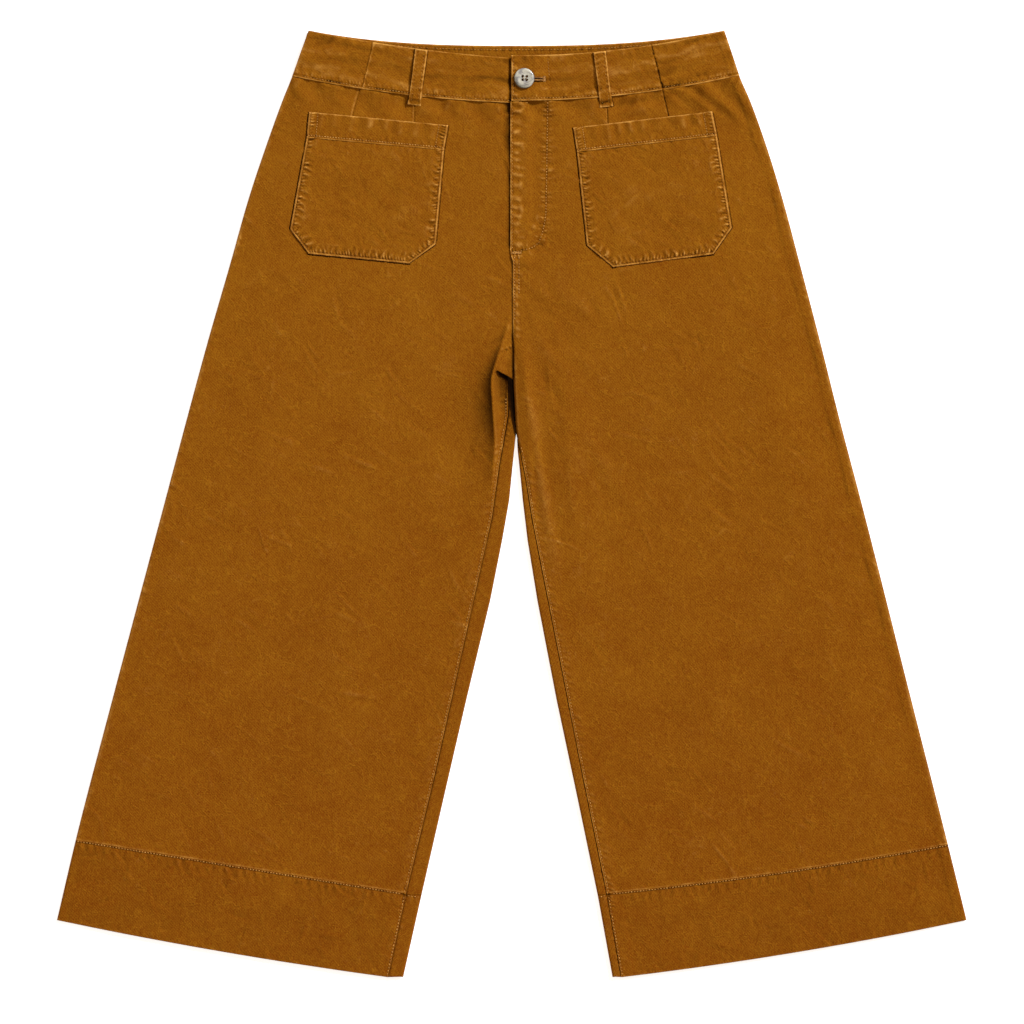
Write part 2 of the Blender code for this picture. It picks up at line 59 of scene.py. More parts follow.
# Fly, tab, belt loops and button
FLY_END = 221.0
LAP_RAMP = (12.0, 21.0)
LAP_TAIL = 8.0
TAB_EDGE = -0.4
TAB_RAMP = (19.0, 36.0)
LOOP_WIDTH = 10.6
LOOP_BULGE = 1.1
LOOP_STEP = 7.0
BUTTON_CENTRE = (10.9, 373.9)
BUTTON_RADIUS = 9.0
BUTTON_HEIGHT = 3.0
HOLE_RADIUS = 1.2
HOLE_PITCH = (3.5, 2.9)    # across, and up

# Twill: the turn of its ribs in degrees, and their pitch in metres
TWILL_TURN = -45.0
RIB_PITCH = 0.0019

SIGN = {"right": -1.0, "left": 1.0}


def table(columns, rows):
    """A table with named columns, as one array for each column."""
    return dict(zip(columns.split(), np.array(rows, dtype=float).T))


SIDE_SEAM = table("y right left", [
    (416.4, 178.8, 186.9), (396.7, 186.4, 194.3), (376.2, 193.2, 200.4), (355.3, 201.5, 209.4),
    (320.1, 214.3, 222.2), (267.3, 231.9, 238.5), (214.5, 246.8, 252.6), (144.1, 267.1, 271),
    (73.7, 286.2, 288.6), (3.3, 304.9, 307.1), (-172.7, 351.6, 351.6), (-295.9, 383.7, 382.8),
    (-366.3, 400.2, 400.2),
])

ACROSS = {
    "right": table("side inner sag", [
        (416.4, 392.2, 3.2), (375.9, 352.4, 4.3), (-296.8, -343.8, 0), (-366.3, -416.4, 2.7),
    ]),
    "left": table("side inner sag", [
        (416.4, 394.4, 6), (376.8, 354.2, 6), (-300.5, -343.8, 3.3), (-366.3, -416.4, 3.5),
    ]),
}
BAND_TOP, WAIST, HEM_SEAM, HEM_EDGE = range(4)

# Inseam of each front, and the inner edge above it
INSEAM = {
    "right": table("y x", [
        (116, -3.2), (104.2, -3.6), (79, -3.4), (52.6, -7.8), (33.2, -11.3), (-12.1, -17.6),
        (-243.1, -69), (-342.8, -93.2), (-416.4, -109),
    ]),
    "left": table("y x", [
        (60, 4.3), (52, 5.9), (42.3, 8.4), (25.7, 11.8), (6.8, 15), (-13.7, 18.2),
        (-243.1, 63.4), (-343.8, 83.9), (-416.4, 96.5),
    ]),
}
CENTRE_EDGE = {
    "right": table("y x", [(360, 0.6), (139.7, 0.6), (104.2, 0.6)]),
    "left": table("y x", [
        (360, -1.3), (221, -1.3), (213, 0.9), (123, 0.9), (104, 1.6), (91.3, 2.3),
        (69.3, 3.4), (60, 4.3),
    ]),
}
BACK_EDGE = {
    "right": table("y x", [(376, 3.45), (139.7, 1.05), (104.2, 0.8)]),
    "left": table("y x", [
        (376, 3.75), (139.7, 0.9), (122, -0.4), (104, -1), (66, -0.4), (60.5, 4.4), (50, 5.6),
    ]),
}
FOLD_EDGE = {
    "right": table("y x", [
        (110.7, 0.4), (78, 1.9), (69.3, 3), (60.5, 3.7), (55, 2.9), (47.3, 2.2), (29.7, 0.4),
        (3.3, -2.2), (-31.9, -8.4), (-84.7, -18.9), (-172.7, -40), (-260.7, -60.3), (-345.2, -79.6),
        (-416.4, -95.5),
    ]),
    "left": table("y x", [
        (110.7, 1.6), (69.3, 4.1), (47.3, 5.1), (29.7, 7), (3.3, 9.6), (-31.9, 13.8),
        (-84.7, 22.4), (-172.7, 39.4), (-260.7, 58.1), (-345.2, 75.7), (-416.4, 88.6),
    ]),
}
ROLL_START = {"right": 117, "left": 57}    # the backs' rolls grow from here, under the fronts
ROLL_GROWTH = 12

RIDGE = table("y x height flank", [
    (172, 0, 0, 9), (158, -3.3, 2.2, 10), (144, -7.5, 4.8, 12),
    (127, -13, 7.4, 15), (113.5, -16.9, 8.5, 16), (109.5, -17.6, 8.6, 7.5),
    (93.6, -17.2, 8, 7), (72.6, -15.8, 6.4, 6), (54, -14.9, 4.8, 5),
    (29.7, -16.5, 2.4, 5), (-5, -20, 0, 5),
])
RIDGE_OUTER_FLANK = 46
RIDGE_STEEP = 8.5    # its outer flank falls off by e in this distance

# Lip of the crotch fold: its crown, its bow and slope, how far it doubles back, and the flanks beside it
LIP = (-12, 115.4, 0.026, 0.16)
LIP_REACH = 6
LIP_SWING = 3
FLANK_ABOVE = table("y width", [(172, 9), (158, 10), (144, 12), (127, 15), (100, 17)])
FLANK_BELOW = table("y width", [(172, 7), (93.6, 7), (72.6, 6), (54, 5)])

# Soft folds of the fronts: ends, half width and height, a trough where the height is negative
FOLDS = table("x0 y0 x1 y1 width height", [
    (9, 160, 15, 15, 8, 2.2),
    (-5, 122, -6, 40, 6, -1.2),
    (44, 110, 57, -40, 12, 1.3),
    (26, 150, 80, 20, 12, 1),
    (-62, 150, -44, -30, 18, -0.8),
    (-190, 120, -250, -60, 22, 0.9),
    (205, 150, 262, -30, 22, 0.9),
    (-120, -60, -165, -230, 26, 0.8),
    (150, -40, 190, -240, 26, 0.8),
])

# Creases of the fronts, narrower than the folds
CREASES = table("x0 y0 x1 y1 width height", [
    (3, 236, -34, 212, 3, -0.55),    # star of creases at the end of the rise
    (4, 230, -30, 248, 3, 0.55),
    (6, 226, 34, 262, 3, 0.55),
    (8, 218, 44, 236, 4, -0.5),
    (2, 190, -42, 164, 5, -0.9),
    (10, 205, 36, 170, 5, 0.7),
    (16, 190, 62, 128, 5, -0.7),
    (30, 196, 92, 150, 6, 0.6),
    (132, 369, 166, 342, 3.4, -1.5),    # left hip, below the waistband
    (142, 370, 182, 342, 3, 1.2),
    (152, 372, 200, 333, 3.4, -1.5),
    (168, 372, 210, 328, 3.4, 1.1),
    (184, 374, 219, 324, 4, -1.1),
    (86, 347.5, 132, 358, 3.4, -1.4),
    (86, 341.5, 130, 350, 3, 0.7),
    (40, 350, 76, 346, 3, -0.5),
    (-183, 372, -210, 336, 5, -0.7),
    (-168, 366, -196, 330, 5, 0.5),
    (-205, 214, -240, 184, 3.5, 0.6),
    (-214, 232, -246, 206, 4, -0.5),
    (-238, 150, -212, 96, 5, 0.5),
    (222, 236, 243, 190, 4, 0.5),
    (60, 70, 108, -8, 6, 0.55),
    (44, 96, 56, -24, 3, 0.55),
    (-13, 351, -9.8, 342.6, 1.3, 0.8),    # beside the fly, under the waistband
    (-10.4, 343.2, -2.2, 341, 1.3, 0.8),
    (12.5, 92, 21, -46, 1.8, 0.6),
    (9, 138, 21, 46, 3.6, 0.9),
    (15, 104, 33, -36, 4.2, 1.3),
    (24, 40, 42, -74, 4.6, 1),
    (33, 168, 46, 140, 3.4, 0.9),
    (40, 86, 57, 56, 3.6, 0.9),
    (47, 60, 67, 22, 4, 0.9),
    (62, 188, 84, 150, 3, -0.5),
    (-60, 190, -22, 168, 3, 0.5),
    (-44, 150, -72, 96, 4, 0.5),
    (-30, 80, -44, 10, 4, -0.5),
    (14, 150, 70, 96, 4, 0.6),
    (12, 136, 60, 60, 4, -0.55),
    (-22, 150, -60, 128, 4, -0.5),
    (42.7, 153, 64, 130, 5, -0.6),
    (49.7, 141, 75, 114, 4, 0.5),
    (21.6, 125, 50, 79, 5, -0.6),
    (16, 168, 34, 128, 4, 0.55),
])

# Painted shade below the waistband, where soft folds shade the hips: middle across, and how much
HIP_SHADE = {"right": (-196, 0.06), "left": (172, 0.19)}

# Upright seams on each side: the painted shade beside the allowance, then how dark and how pale the others
# are. The sides differ by painted light and shade: darker and less pale on the left
UPRIGHT = {
    "right": {"allowance": 0.14, "short seam": (0.6, 0.62), "band join": (0.45, 0.62)},
    "left": {"allowance": 0.32, "short seam": (1.1, 0.42), "band join": (1, 0.36)},
}

BACK_BAND = table("side dip", [(416.4, 13.4), (377.4, 15.4)])
BACK_BAND_POWER = 2.6
BACK_BAND_TALL = 37
BACK_BAND_SEWN = 3.4    # its row of stitches, down from its top edge
BAND_TALL = 41
BAND_JOIN = {"right": (-122.2, -132.4), "left": (122.9, 132.9)}
LOOPS = {"right": (-79.5, 399.3, -85.9, 350.4), "left": (77.1, 397.3, 83.2, 348.8)}

POCKETS = {
    "right": table("outer_x outer_y inner_x inner_y", [
        (-178.1, 344.7, -56.1, 332.9), (-180.2, 321.9, -59.8, 311.1),
        (-194.7, 241.4, -67.2, 228.1), (-178.6, 220, -90.2, 211.4),
    ]),
    "left": table("outer_x outer_y inner_x inner_y", [
        (176, 345.1, 54.2, 330.8), (180.2, 323.6, 57.6, 309.2),
        (193.2, 242.6, 66.4, 227.1), (177.2, 219.6, 89.1, 208.2),
    ]),
}

POCKET_OUTLINE = (("outer", 1), ("outer", 2), ("outer", 3), ("inner", 3), ("inner", 2), ("inner", 1))
POCKET_FOLD = (("outer", 1), ("inner", 1))
POCKET_OPENING = (("outer", 0), ("inner", 0))

# Short seams of the fronts between waistband and pockets: x and y of both ends
DARTS = {
    "right": ((-133, 367.5, -140.6, 339), (-85.2, 352, -85.9, 334)),
    "left": ((132.2, 366, 138.6, 338), (84, 350, 84.7, 333)),
}

# Curved stitching of the fly, top to bottom
FLY_CURVE = [
    (31.6, 353.5), (31.2, 330), (30.6, 290), (29.9, 255), (28.6, 246), (26.6, 237),
    (23.6, 229.6), (19.2, 226), (15, 224.2), (7, 222.2), (-0.4, 220.4),
]

# Long soft puckers of the fly, each a line of corners running in from its edge
FLY_CREASES = (
    ((0.8, 350.2), (8.8, 351), (13, 348)),
    ((0.8, 345), (7, 345), (10, 348.4)),
    ((0.8, 326), (7.6, 329)),
    ((0.8, 315.4), (9, 317.2), (10.4, 309.6)),
    ((1.2, 306), (6, 309.2)),
    ((0.8, 302.4), (5.8, 302.4), (7.6, 305.6)),
    ((7.4, 286), (8.2, 276)),
    ((1.2, 274.8), (6.4, 274.8)),
    ((0.8, 264.6), (5.8, 267.2), (9.2, 258.6), (5.8, 248.4), (1.2, 242.8)),
    ((0.8, 233.8), (12, 234.4)),
    ((20, 318), (22, 306)),
    ((25, 262), (21, 246), (17, 240)),
)

# Rows of puckers across a seam: where they start and end off it, their pitch along it, their height,
# their slant and how pale they are rubbed
PUCKERS = {
    "side seam": (0.8, 8.5, 9, 0.1, 0.5, 0.12),
    "short seam": (0.6, 6, 5, 0.12, 0.4, 0.3),
    "waist": (0.2, 15, 12, 0.26, 0.5, 0.22),
    "waist, long": (0.2, 30, 31, 0.65, -0.4, 0.1),
    "inseam": (1.6, 11, 6.2, 0.2, 0.4, 0.26),
    "above hem": (2.4, 9, 7.5, 0.1, 0.2, 0.12),
    "fly edge": (0.6, 5, 3.4, 0.12, 0.1, 0.35),
    "fly edge, long": (0.8, 16, 8.4, 0.26, 0.2, 0.62),
    "fly curve": (0.4, 7, 3.3, 0.22, 0.1, 0.8),
    "fly curve, long": (0.4, 12, 7.9, 0.18, 0.3, 0.36),
    "rise": (1, 11, 7, 0.22, 0.4, 0.4),
    "roll": (0.6, 6, 6.2, 0.18, 0.4, 0.28),
    "hem seam": (0.9, 11, 4.9, 0.15, 0.25, 0.3),
    "hem seam, long": (0.9, 15, 8.7, 0.18, -0.2, 0.12),
    "hem edge": (1, 7, 7.5, 0.1, 0.2, 0.1),
    "hem inseam": (1.4, 9, 4.4, 0.12, 0.4, 0.26),
    "back hem seam": (0.7, 11, 5.4, 0.2, 0.2, 0.4),
    "band seam": (2.8, 7.5, 3.1, 0.14, 0.08, 0.6),
    "band seam, long": (2.8, 12, 7.9, 0.13, 0.1, 0.16),
    "band top": (1.2, 10, 8.5, 0.1, -0.1, 0.15),
    "band join": (0.8, 7, 6, 0.14, 0.2, 0.25),
    "tab": (0.8, 9, 6.4, 0.24, 0.2, 0.4),
    "back band": (1, 9, 6, 0.14, 0.3, 0.35),
    "pocket": (1, 8, 2.9, 0.19, 0.25, 1.05),
    "pocket, long": (2.2, 12.5, 6.1, 0.24, -0.3, 0.62),
    "pocket fold": (0.3, 9, 9, 0.12, 0.2, 0.16),
    "pocket opening": (0.5, 20, 13, 0.28, 0.1, 0.4),
    "pocket band seam": (2.6, 10, 6.8, 0.15, 0.1, 0.25),
    "pocket band": (1.2, 8.5, 2.9, 0.19, 0.2, 1.05),
    "loop": (0.5, 5, 4.2, 0.18, 0.2, 0.55),
}

# Troughs that rows of stitches pull in: how far in from the edge, their depth, darkness and width
SEWN = {
    "inseam": (1.7, 0.22, 0.45, 0.7),
    "above hem": (0.1, 0.4, 0.85, 0.75),
    "fly edge": (1.7, 0.15, 0.3, 0.75),
    "fly curve": (0, 0.35, 0.65, 0.8),
    "rise": (1.7, 0.3, 0.55, 0.75),
    "rise, second": (5.4, 0.3, 0.3, 0.75),
    "hem inseam": (1, 0.22, 0.5, 0.6),
    "band seam": (2.2, 0.35, 0.85, 0.75),
    "tab": (2.1, 0.14, 0.25, 0.75),
    "pocket": (1.9, 0.28, 0.42, 0.5),
    "pocket band seam": (2.2, 0.3, 0.5, 0.7),
    "pocket band": (7.8, 0.25, 0.45, 0.75),
    "loop": (2.4, 0.24, 0.25, 0.75),
}

# Turned edges: how far they round down, and how pale their crest is
EDGES = {
    "fly": (0.45, 0.84), "rise": (0.35, 0.6), "hem": (0.6, 0.45), "band top": (0.8, 0.66),
    "band seam": (0.6, 0.72), "tab": (0.8, 1.1), "back band": (0.7, 0.75), "pocket": (0.6, 0.8),
    "pocket opening": (0.6, 0.72), "pocket band seam": (0.35, 0.6), "pocket band": (0.6, 0.78),
    "loop": (0.75, 0.68), "loop top": (0.6, 0.9), "loop foot": (0.6, 1),
}

# First seed of the noise on each kind of piece
SEEDS = {
    "front": {"right": 10, "left": 30}, "fly": 50, "roll": {"right": 70, "left": 80},
    "back": {"right": 89, "left": 91}, "back hem": 140,
    "hem": {"right": 100, "left": 120}, "band side": {"right": 200, "left": 230},
    "band middle": {"right": 260, "left": 290}, "back band": 320,
    "pocket": {"right": 400, "left": 440}, "loop": {"right": 500, "left": 520},
}

# Stitches of each row: pitch, length and thickness
STITCHES = {
    "inseam": (2.7, 1.9, 0.62), "above hem": (2.6, 1.8, 0.86), "hem inseam": (2.8, 1.8, 0.84),
    "roll": (2.5, 1.7, 0.62), "band seam": (2.6, 1.9, 0.46), "tab": (2.6, 1.9, 0.42),
    "tab, cross": (2.4, 1.7, 0.42), "back band": (2.8, 2, 0.44), "fly curve": (2.5, 1.6, 0.78),
    "rise": (2.6, 1.9, 0.76), "fly edge": (2.6, 1.7, 0.46), "tack": (1, 1.5, 0.42),
    "pocket": (2.5, 1.7, 0.36), "pocket band seam": (2.4, 1.8, 0.84), "pocket band": (2.1, 1.6, 0.62),
    "loop": (2.6, 1.5, 0.28), "button": (10, HOLE_PITCH[1] + 0.2, 0.42),
    "buttonhole": (5, 1.5, 0.55), "buttonhole bar": (5, 2.6, 0.58),
}
INSEAM_SEWN_TO = {"right": 93, "left": 50}


# Plain sums

def mix(a, b, t):
    return a + (b - a) * t


def ease(t):
    """Smooth step from 0 to 1."""
    t = np.clip(t, 0, 1)
    return t * t * (3 - 2 * t)


def bell(t):
    """Bell curve exp(-t * t)."""
    return np.exp(-t * t)


def quarter_round(d, radius):
    """0 at an edge to 1 a radius inside it, along a quarter of a circle."""
    return np.sqrt(1 - (1 - np.clip(d / radius, 0, 1)) ** 2)


def read(curve, column, y):
    """A column of a table read at y along straight stretches."""
    return np.interp(y, curve["y"][::-1], curve[column][::-1])


def read_smooth(curve, column, y):
    """A column of a table read at y along a cubic that passes through every row."""
    rows = curve["y"][::-1]
    values = curve[column][::-1]
    slopes = np.gradient(values, rows)
    y = np.clip(y, rows[0], rows[-1])
    k = np.clip(np.searchsorted(rows, y) - 1, 0, len(rows) - 2)
    step = rows[k + 1] - rows[k]
    t = (y - rows[k]) / step
    ends = values[k] * (1 + 2 * t) * (1 - t) ** 2 + values[k + 1] * t ** 2 * (3 - 2 * t)
    return ends + step * (slopes[k] * t * (1 - t) ** 2 - slopes[k + 1] * t ** 2 * (1 - t))


def stations(*stops):
    """Values of y from (y, greatest step to the next stop) pairs."""
    runs = []
    for (start, step), (end, _) in zip(stops, stops[1:]):
        runs.append(np.linspace(start, end, max(1, math.ceil(abs(end - start) / step)), endpoint=False))
    return np.concatenate(runs + [[stops[-1][0]]])


def wander(t, seed):
    """Smooth noise along a line, about -1 to 1: three sines of unrelated lengths."""
    phase = np.random.default_rng(seed).uniform(0, 2 * math.pi, 3)
    return (np.sin(t + phase[0]) + np.sin(1.73 * t + phase[1]) + np.sin(2.61 * t + phase[2])) / 2.2


def cloud(x, y, size, seed):
    """Smooth noise over a plane, -1 to 1: random values on a square lattice, eased between them."""
    lattice = np.random.default_rng(seed).uniform(-1, 1, (97, 97))
    column, row = np.floor(x / size).astype(int), np.floor(y / size).astype(int)
    fx, fy = ease(x / size - column), ease(y / size - row)
    near = mix(lattice[row % 97, column % 97], lattice[row % 97, (column + 1) % 97], fx)
    far = mix(lattice[(row + 1) % 97, column % 97], lattice[(row + 1) % 97, (column + 1) % 97], fx)
    return mix(near, far, fy)


def along_line(x, y, x0, y0, x1, y1):
    """Distance along a straight line from its start, signed distance off it, and its length."""
    length = math.hypot(x1 - x0, y1 - y0)
    ux, uy = (x1 - x0) / length, (y1 - y0) / length
    return (x - x0) * ux + (y - y0) * uy, (x - x0) * uy - (y - y0) * ux, length


def to_segments(x, y, corners):
    """Distance from the nearest side of a line of corners, and how far along the line that is."""
    best = np.full(np.shape(x), 1e9)
    along = np.zeros(np.shape(x))
    done = 0
    for start, end in zip(corners, corners[1:]):
        s, off, length = along_line(x, y, *start, *end)
        within = np.clip(s, 0, length)
        d = np.hypot(off, s - within)
        nearer = d < best
        best = np.where(nearer, d, best)
        along = np.where(nearer, done + within, along)
        done += length
    return best, along


# Lines and heights of the garment

def side_x(side, y):
    return SIGN[side] * read_smooth(SIDE_SEAM, side, y)


def line_y(side, line, x, inner_edge):
    """y at x of a line across one side: straight from side seam to its inner edge, less its sag."""
    outer_y, inner_y, sag = (ACROSS[side][column][line] for column in ("side", "inner", "sag"))
    outer_x = side_x(side, outer_y)
    u = (x - outer_x) / (read(inner_edge, "x", inner_y) - outer_x)
    return mix(outer_y, inner_y, u) - 4 * sag * u * (1 - u)


def across(side, line, x):
    """y at x of a line across the upper part of one side, from side seam to centre."""
    return line_y(side, line, x, CENTRE_EDGE[side])


def hem_line(side, line, x):
    """y at x of a line across the lower leg, from side seam to inseam."""
    return line_y(side, line, x, INSEAM[side])


def inner_edge_x(side, y):
    """x of a front's inner edge: its centre above the crotch, its inseam below."""
    above = y > INSEAM[side]["y"][0]
    return np.where(above, read(CENTRE_EDGE[side], "x", y), read(INSEAM[side], "x", y))


def from_side(x, y):
    """Distance in from the side seam."""
    edge = np.where(x < 0, read_smooth(SIDE_SEAM, "right", y), read_smooth(SIDE_SEAM, "left", y))
    return edge - np.abs(x)


def crown(x, y):
    return CROWN * ease(from_side(x, y) / CROWN_WIDTH)


def folds(x, y, rows):
    """Sum of bell-shaped folds from a table, each fading out at both ends."""
    total = np.zeros_like(x)
    for *ends, width, height in zip(*rows.values()):
        along, off, length = along_line(x, y, *ends)
        total += height * np.sin(math.pi * np.clip(along / length, 0, 1)) * bell(off / width)
    return total


def ridge_height(x, y, flank):
    """The crotch ridge: a hollow slope up from outside, and a rounded drop over its inner flank."""
    distance = x - read_smooth(RIDGE, "x", y)
    outer = 0.3 * np.clip(1 + distance / RIDGE_OUTER_FLANK, 0, 1) ** 2.2
    outer = outer + 0.7 * np.exp(np.minimum(distance, 0) / RIDGE_STEEP)
    inner = 1 - ease(distance / flank)
    return np.maximum(read_smooth(RIDGE, "height", y), 0) * np.where(distance < 0, outer, inner)


def front_rest(x, y):
    """Upper surface of the fronts but for the crotch ridge."""
    return 2 * WALL + GAP + crown(x, y) + folds(x, y, FOLDS) + folds(x, y, CREASES)


def front_top(x, y):
    """Upper surface of the fronts, never closer to the backs than the clearance."""
    ridge = ridge_height(x, y, read(RIDGE, "flank", y))
    return np.maximum(front_rest(x, y) + ridge, 2 * WALL + GAP)


def fly_lap(x, y):
    """How far the left front is lifted over the right one."""
    sideways = 1 - ease((x - LAP_RAMP[0]) / (LAP_RAMP[1] - LAP_RAMP[0]))
    return (WALL + GAP) * sideways * ease((y - FLY_END + 2 * LAP_TAIL) / LAP_TAIL)


def band_top(x, y):
    return 2 * BAND_WALL + GAP + crown(x, y)


def tab_lift(x):
    return (BAND_WALL + GAP) * (1 - ease((x - TAB_RAMP[0]) / (TAB_RAMP[1] - TAB_RAMP[0])))


# Relief: each part gives (height, wear and painted light) as one array. The second is 1 on rubbed ridges
# and painted highlights, -1 in deep grooves and painted shade, and lower still in painted shadow

def relief(height, wear_and_painted_light, shape=1):
    return np.stack(np.broadcast_arrays(height * shape, wear_and_painted_light * shape))


def tone(wear_and_painted_light, shape=1):
    """Relief without height: paler above 0, darker below."""
    return relief(0, wear_and_painted_light, shape)


def turned_edge(kind, d, s, seed):
    """Rounded, rubbed edge at distance d, along s: a quarter round, paler on its crest."""
    drop, pale = EDGES[kind]
    uneven = 0.8 + 0.28 * wander(s / 7, seed) + 0.1 * wander(s / 1.9, seed + 1)
    return relief(-0.7 * drop * (1 - quarter_round(d, 0.8)), 1.15 * pale * uneven * bell((d - 0.5) / 0.62))


def groove(off, depth=0.3, width=0.6, dark=0.6):
    """A narrow trough along off = 0."""
    return relief(-depth * bell(off / width), -dark * bell(off / width))


def sewn_line(kind, d, s, seed):
    """The trough that a row of stitches pulls in, deeper at some stitches than at others."""
    distance, depth, dark, width = SEWN[kind]
    uneven = 0.85 + 0.35 * wander(s / 3.1, seed)
    return relief(-depth, -dark, uneven * bell((d - distance) / width))


def rope(s, pitch, seed):
    """Uneven ridges along s: a sine whose phase wanders and whose height swells and fades."""
    phase = 2 * math.pi * s / pitch + 2.4 * wander(s / (2.3 * pitch), seed)
    swell = 0.8 + 0.32 * wander(s / (1.6 * pitch), seed + 1)
    return np.maximum(swell, 0.1) * np.sin(phase)


def puckers(kind, d, s, seed):
    """Ridges across a seam, from start to end off it, spaced by the pitch along it."""
    start, end, pitch, height, slant, pale = PUCKERS[kind]
    reach = mix(start, end, 0.78 + 0.22 * wander(s / (1.1 * pitch), seed + 2))
    fade = ease(d - start) * (1 - ease((d - 0.55 * reach) / (0.45 * reach)))
    ridge = rope(s + slant * d, pitch, seed) * fade
    rubbed = np.maximum(ridge, 0) ** 1.3 - 0.75 * np.maximum(-ridge, 0)
    return relief(2 * height * ridge, 0.75 * pale * rubbed)


def ripples(x, y, seed, height=0.12):
    """Faint unevenness of washed cloth at three sizes."""
    bumps = cloud(x, y, 23, seed) + 0.6 * cloud(x + y, y - x, 13, seed + 1)
    small = cloud(x, y, 6, seed + 2)
    return relief(height * (1.6 * bumps + 0.45 * small), 0.05 * bumps + 0.05 * small)


def mottle(x, y, seed, amount):
    """Cloudy patches where the dye has rubbed off or stayed."""
    patches = cloud(x, 1.5 * y, 15, seed) + 0.8 * cloud(x, 1.3 * y, 7, seed + 1)
    return relief(0.1 * patches, amount * patches)


def wash_creases(x, y, seed, count, box, size=(8, 34), height=0.16):
    """Fine creases of washing, at random over a box: short, bowed ridges, each with a trough beside it."""
    rng = np.random.default_rng(seed)
    total = np.zeros((2,) + np.shape(x))
    for _ in range(count):
        cx, cy = rng.uniform(box[0], box[1]), rng.uniform(box[2], box[3])
        turn = math.radians(rng.choice([rng.uniform(-75, -15), rng.uniform(0, 180)], p=[0.65, 0.35]))
        half, width = rng.uniform(*size) / 2, rng.uniform(0.8, 2.2)
        bow, strength = rng.uniform(-0.18, 0.18) * half, rng.uniform(0.35, 1)
        near = (np.abs(x - cx) < half + 4) & (np.abs(y - cy) < half + 4)
        if not near.any():
            continue
        px, py = x[near] - cx, y[near] - cy
        along = (px * math.cos(turn) + py * math.sin(turn)) / half
        off = py * math.cos(turn) - px * math.sin(turn) - bow * (1 - along ** 2)
        fade = ease(1.1 * (1 - np.abs(along))) * strength
        crest, trough = bell(off / width), bell((off - 1.9 * width) / width)
        total[0][near] += height * fade * (1.7 * crest - trough)
        total[1][near] += fade * height * (0.65 * crest - 0.65 * trough)
    return total


def line_off(x, y, ends, fade=2.5):
    """Signed distance from a straight line, and 1 along its length fading to 0 past its ends."""
    along, off, length = along_line(x, y, *ends)
    return off, ease((along + fade) / fade) * ease((length + fade - along) / fade)


# Making meshes

def grid_normals(points):
    """Unit normals of a grid of points: the cross product of its two tangents."""
    normal = np.cross(np.gradient(points, axis=0), np.gradient(points, axis=1))
    return normal / np.maximum(np.linalg.norm(normal, axis=-1, keepdims=True), 1e-9)


def grid_cells(index):
    """Corner numbers of the cells of a grid of point numbers."""
    cells = [index[:-1, :-1], index[1:, :-1], index[1:, 1:], index[:-1, 1:]]
    return np.stack(cells, axis=-1).reshape(-1, 4)


def make_mesh(name, points, faces, finish, wear_and_painted_light=None, cloth=None, sharp=55):
    """Object from points in millimetres and faces; for each point a value of rubbed wear and painted light
    and shade, and a place on the cloth.
    """
    mesh = bpy.data.meshes.new(name)
    mesh.from_pydata((points * MM).tolist(), [], faces)
    mesh.shade_smooth()
    mesh.set_sharp_from_angle(angle=math.radians(sharp))
    corners = np.zeros(len(mesh.loops), dtype=np.int32)
    mesh.loops.foreach_get("vertex_index", corners)
    if cloth is not None:
        layer = mesh.uv_layers.new(name="cloth")
        layer.data.foreach_set("uv", (cloth[corners] * MM).ravel())
    values = np.zeros(len(points)) if wear_and_painted_light is None else wear_and_painted_light
    rubbed = mesh.attributes.new("wear_and_painted_light", "FLOAT", "POINT")
    rubbed.data.foreach_set("value", values.astype(np.float32))
    mesh.materials.append(finish)
    made = bpy.data.objects.new(name, mesh)
    bpy.context.scene.collection.objects.link(made)
    return made


def every_other(count):
    """Numbers of every second line of a grid, and of its last."""
    return np.unique(np.append(np.arange(0, count, 2), count - 1))


def border(grid):
    return np.concatenate([grid[0, :-1], grid[:-1, -1], grid[-1, :0:-1], grid[:0:-1, 0]])


def shell(name, points, wear_and_painted_light, wall, finish, flip=False, turn=False):
    """Closed shell over a grid of points on its outer side.

    Its inner side is every second line of the outer one, moved in along the normals by the wall; quads
    and triangles join their borders. The place on the cloth is the distance run along each row, and y;
    turn swaps them.
    """
    rows, columns = points.shape[:2]
    count = rows * columns
    way = -1 if flip else 1
    normal = grid_normals(points) * way
    kept_rows, kept_columns = every_other(rows), every_other(columns)
    kept = np.ix_(kept_rows, kept_columns)
    inner = (points - wall * normal)[kept]
    inner[..., 2] = np.maximum(inner[..., 2], 0)
    index = np.arange(count).reshape(rows, columns)
    inner_index = count + np.arange(inner.shape[0] * inner.shape[1]).reshape(inner.shape[:2])
    beneath = inner_index[np.ix_(np.searchsorted(kept_rows, np.arange(rows), "right") - 1,
                                 np.searchsorted(kept_columns, np.arange(columns), "right") - 1)]
    edge, low = border(index), border(beneath)
    rim = np.stack([edge, np.roll(edge, -1), np.roll(low, -1), low], axis=-1)
    narrow = rim[:, 2] == rim[:, 3]
    quads = np.concatenate([grid_cells(index), grid_cells(inner_index)[:, ::-1], rim[~narrow]])
    triangles = rim[narrow][:, :3]
    faces = quads[:, ::way].tolist() + triangles[:, ::way].tolist()
    steps = np.linalg.norm(np.diff(points, axis=1), axis=-1)
    run = np.concatenate([np.zeros((rows, 1)), np.cumsum(steps, axis=1)], axis=1)
    along_x = np.sign(points[0, -1, 0] - points[0, 0, 0])
    place = np.stack([points[:, :1, 0] + along_x * run, points[..., 1]], axis=-1)
    if turn:
        place = place[..., ::-1]

    def both(values, size):
        return np.concatenate([values.reshape(-1, size), values[kept].reshape(-1, size)])

    every = np.concatenate([points.reshape(-1, 3), inner.reshape(-1, 3)])
    return make_mesh(name, every, faces, finish, both(wear_and_painted_light, 1)[:, 0], both(place, 2))


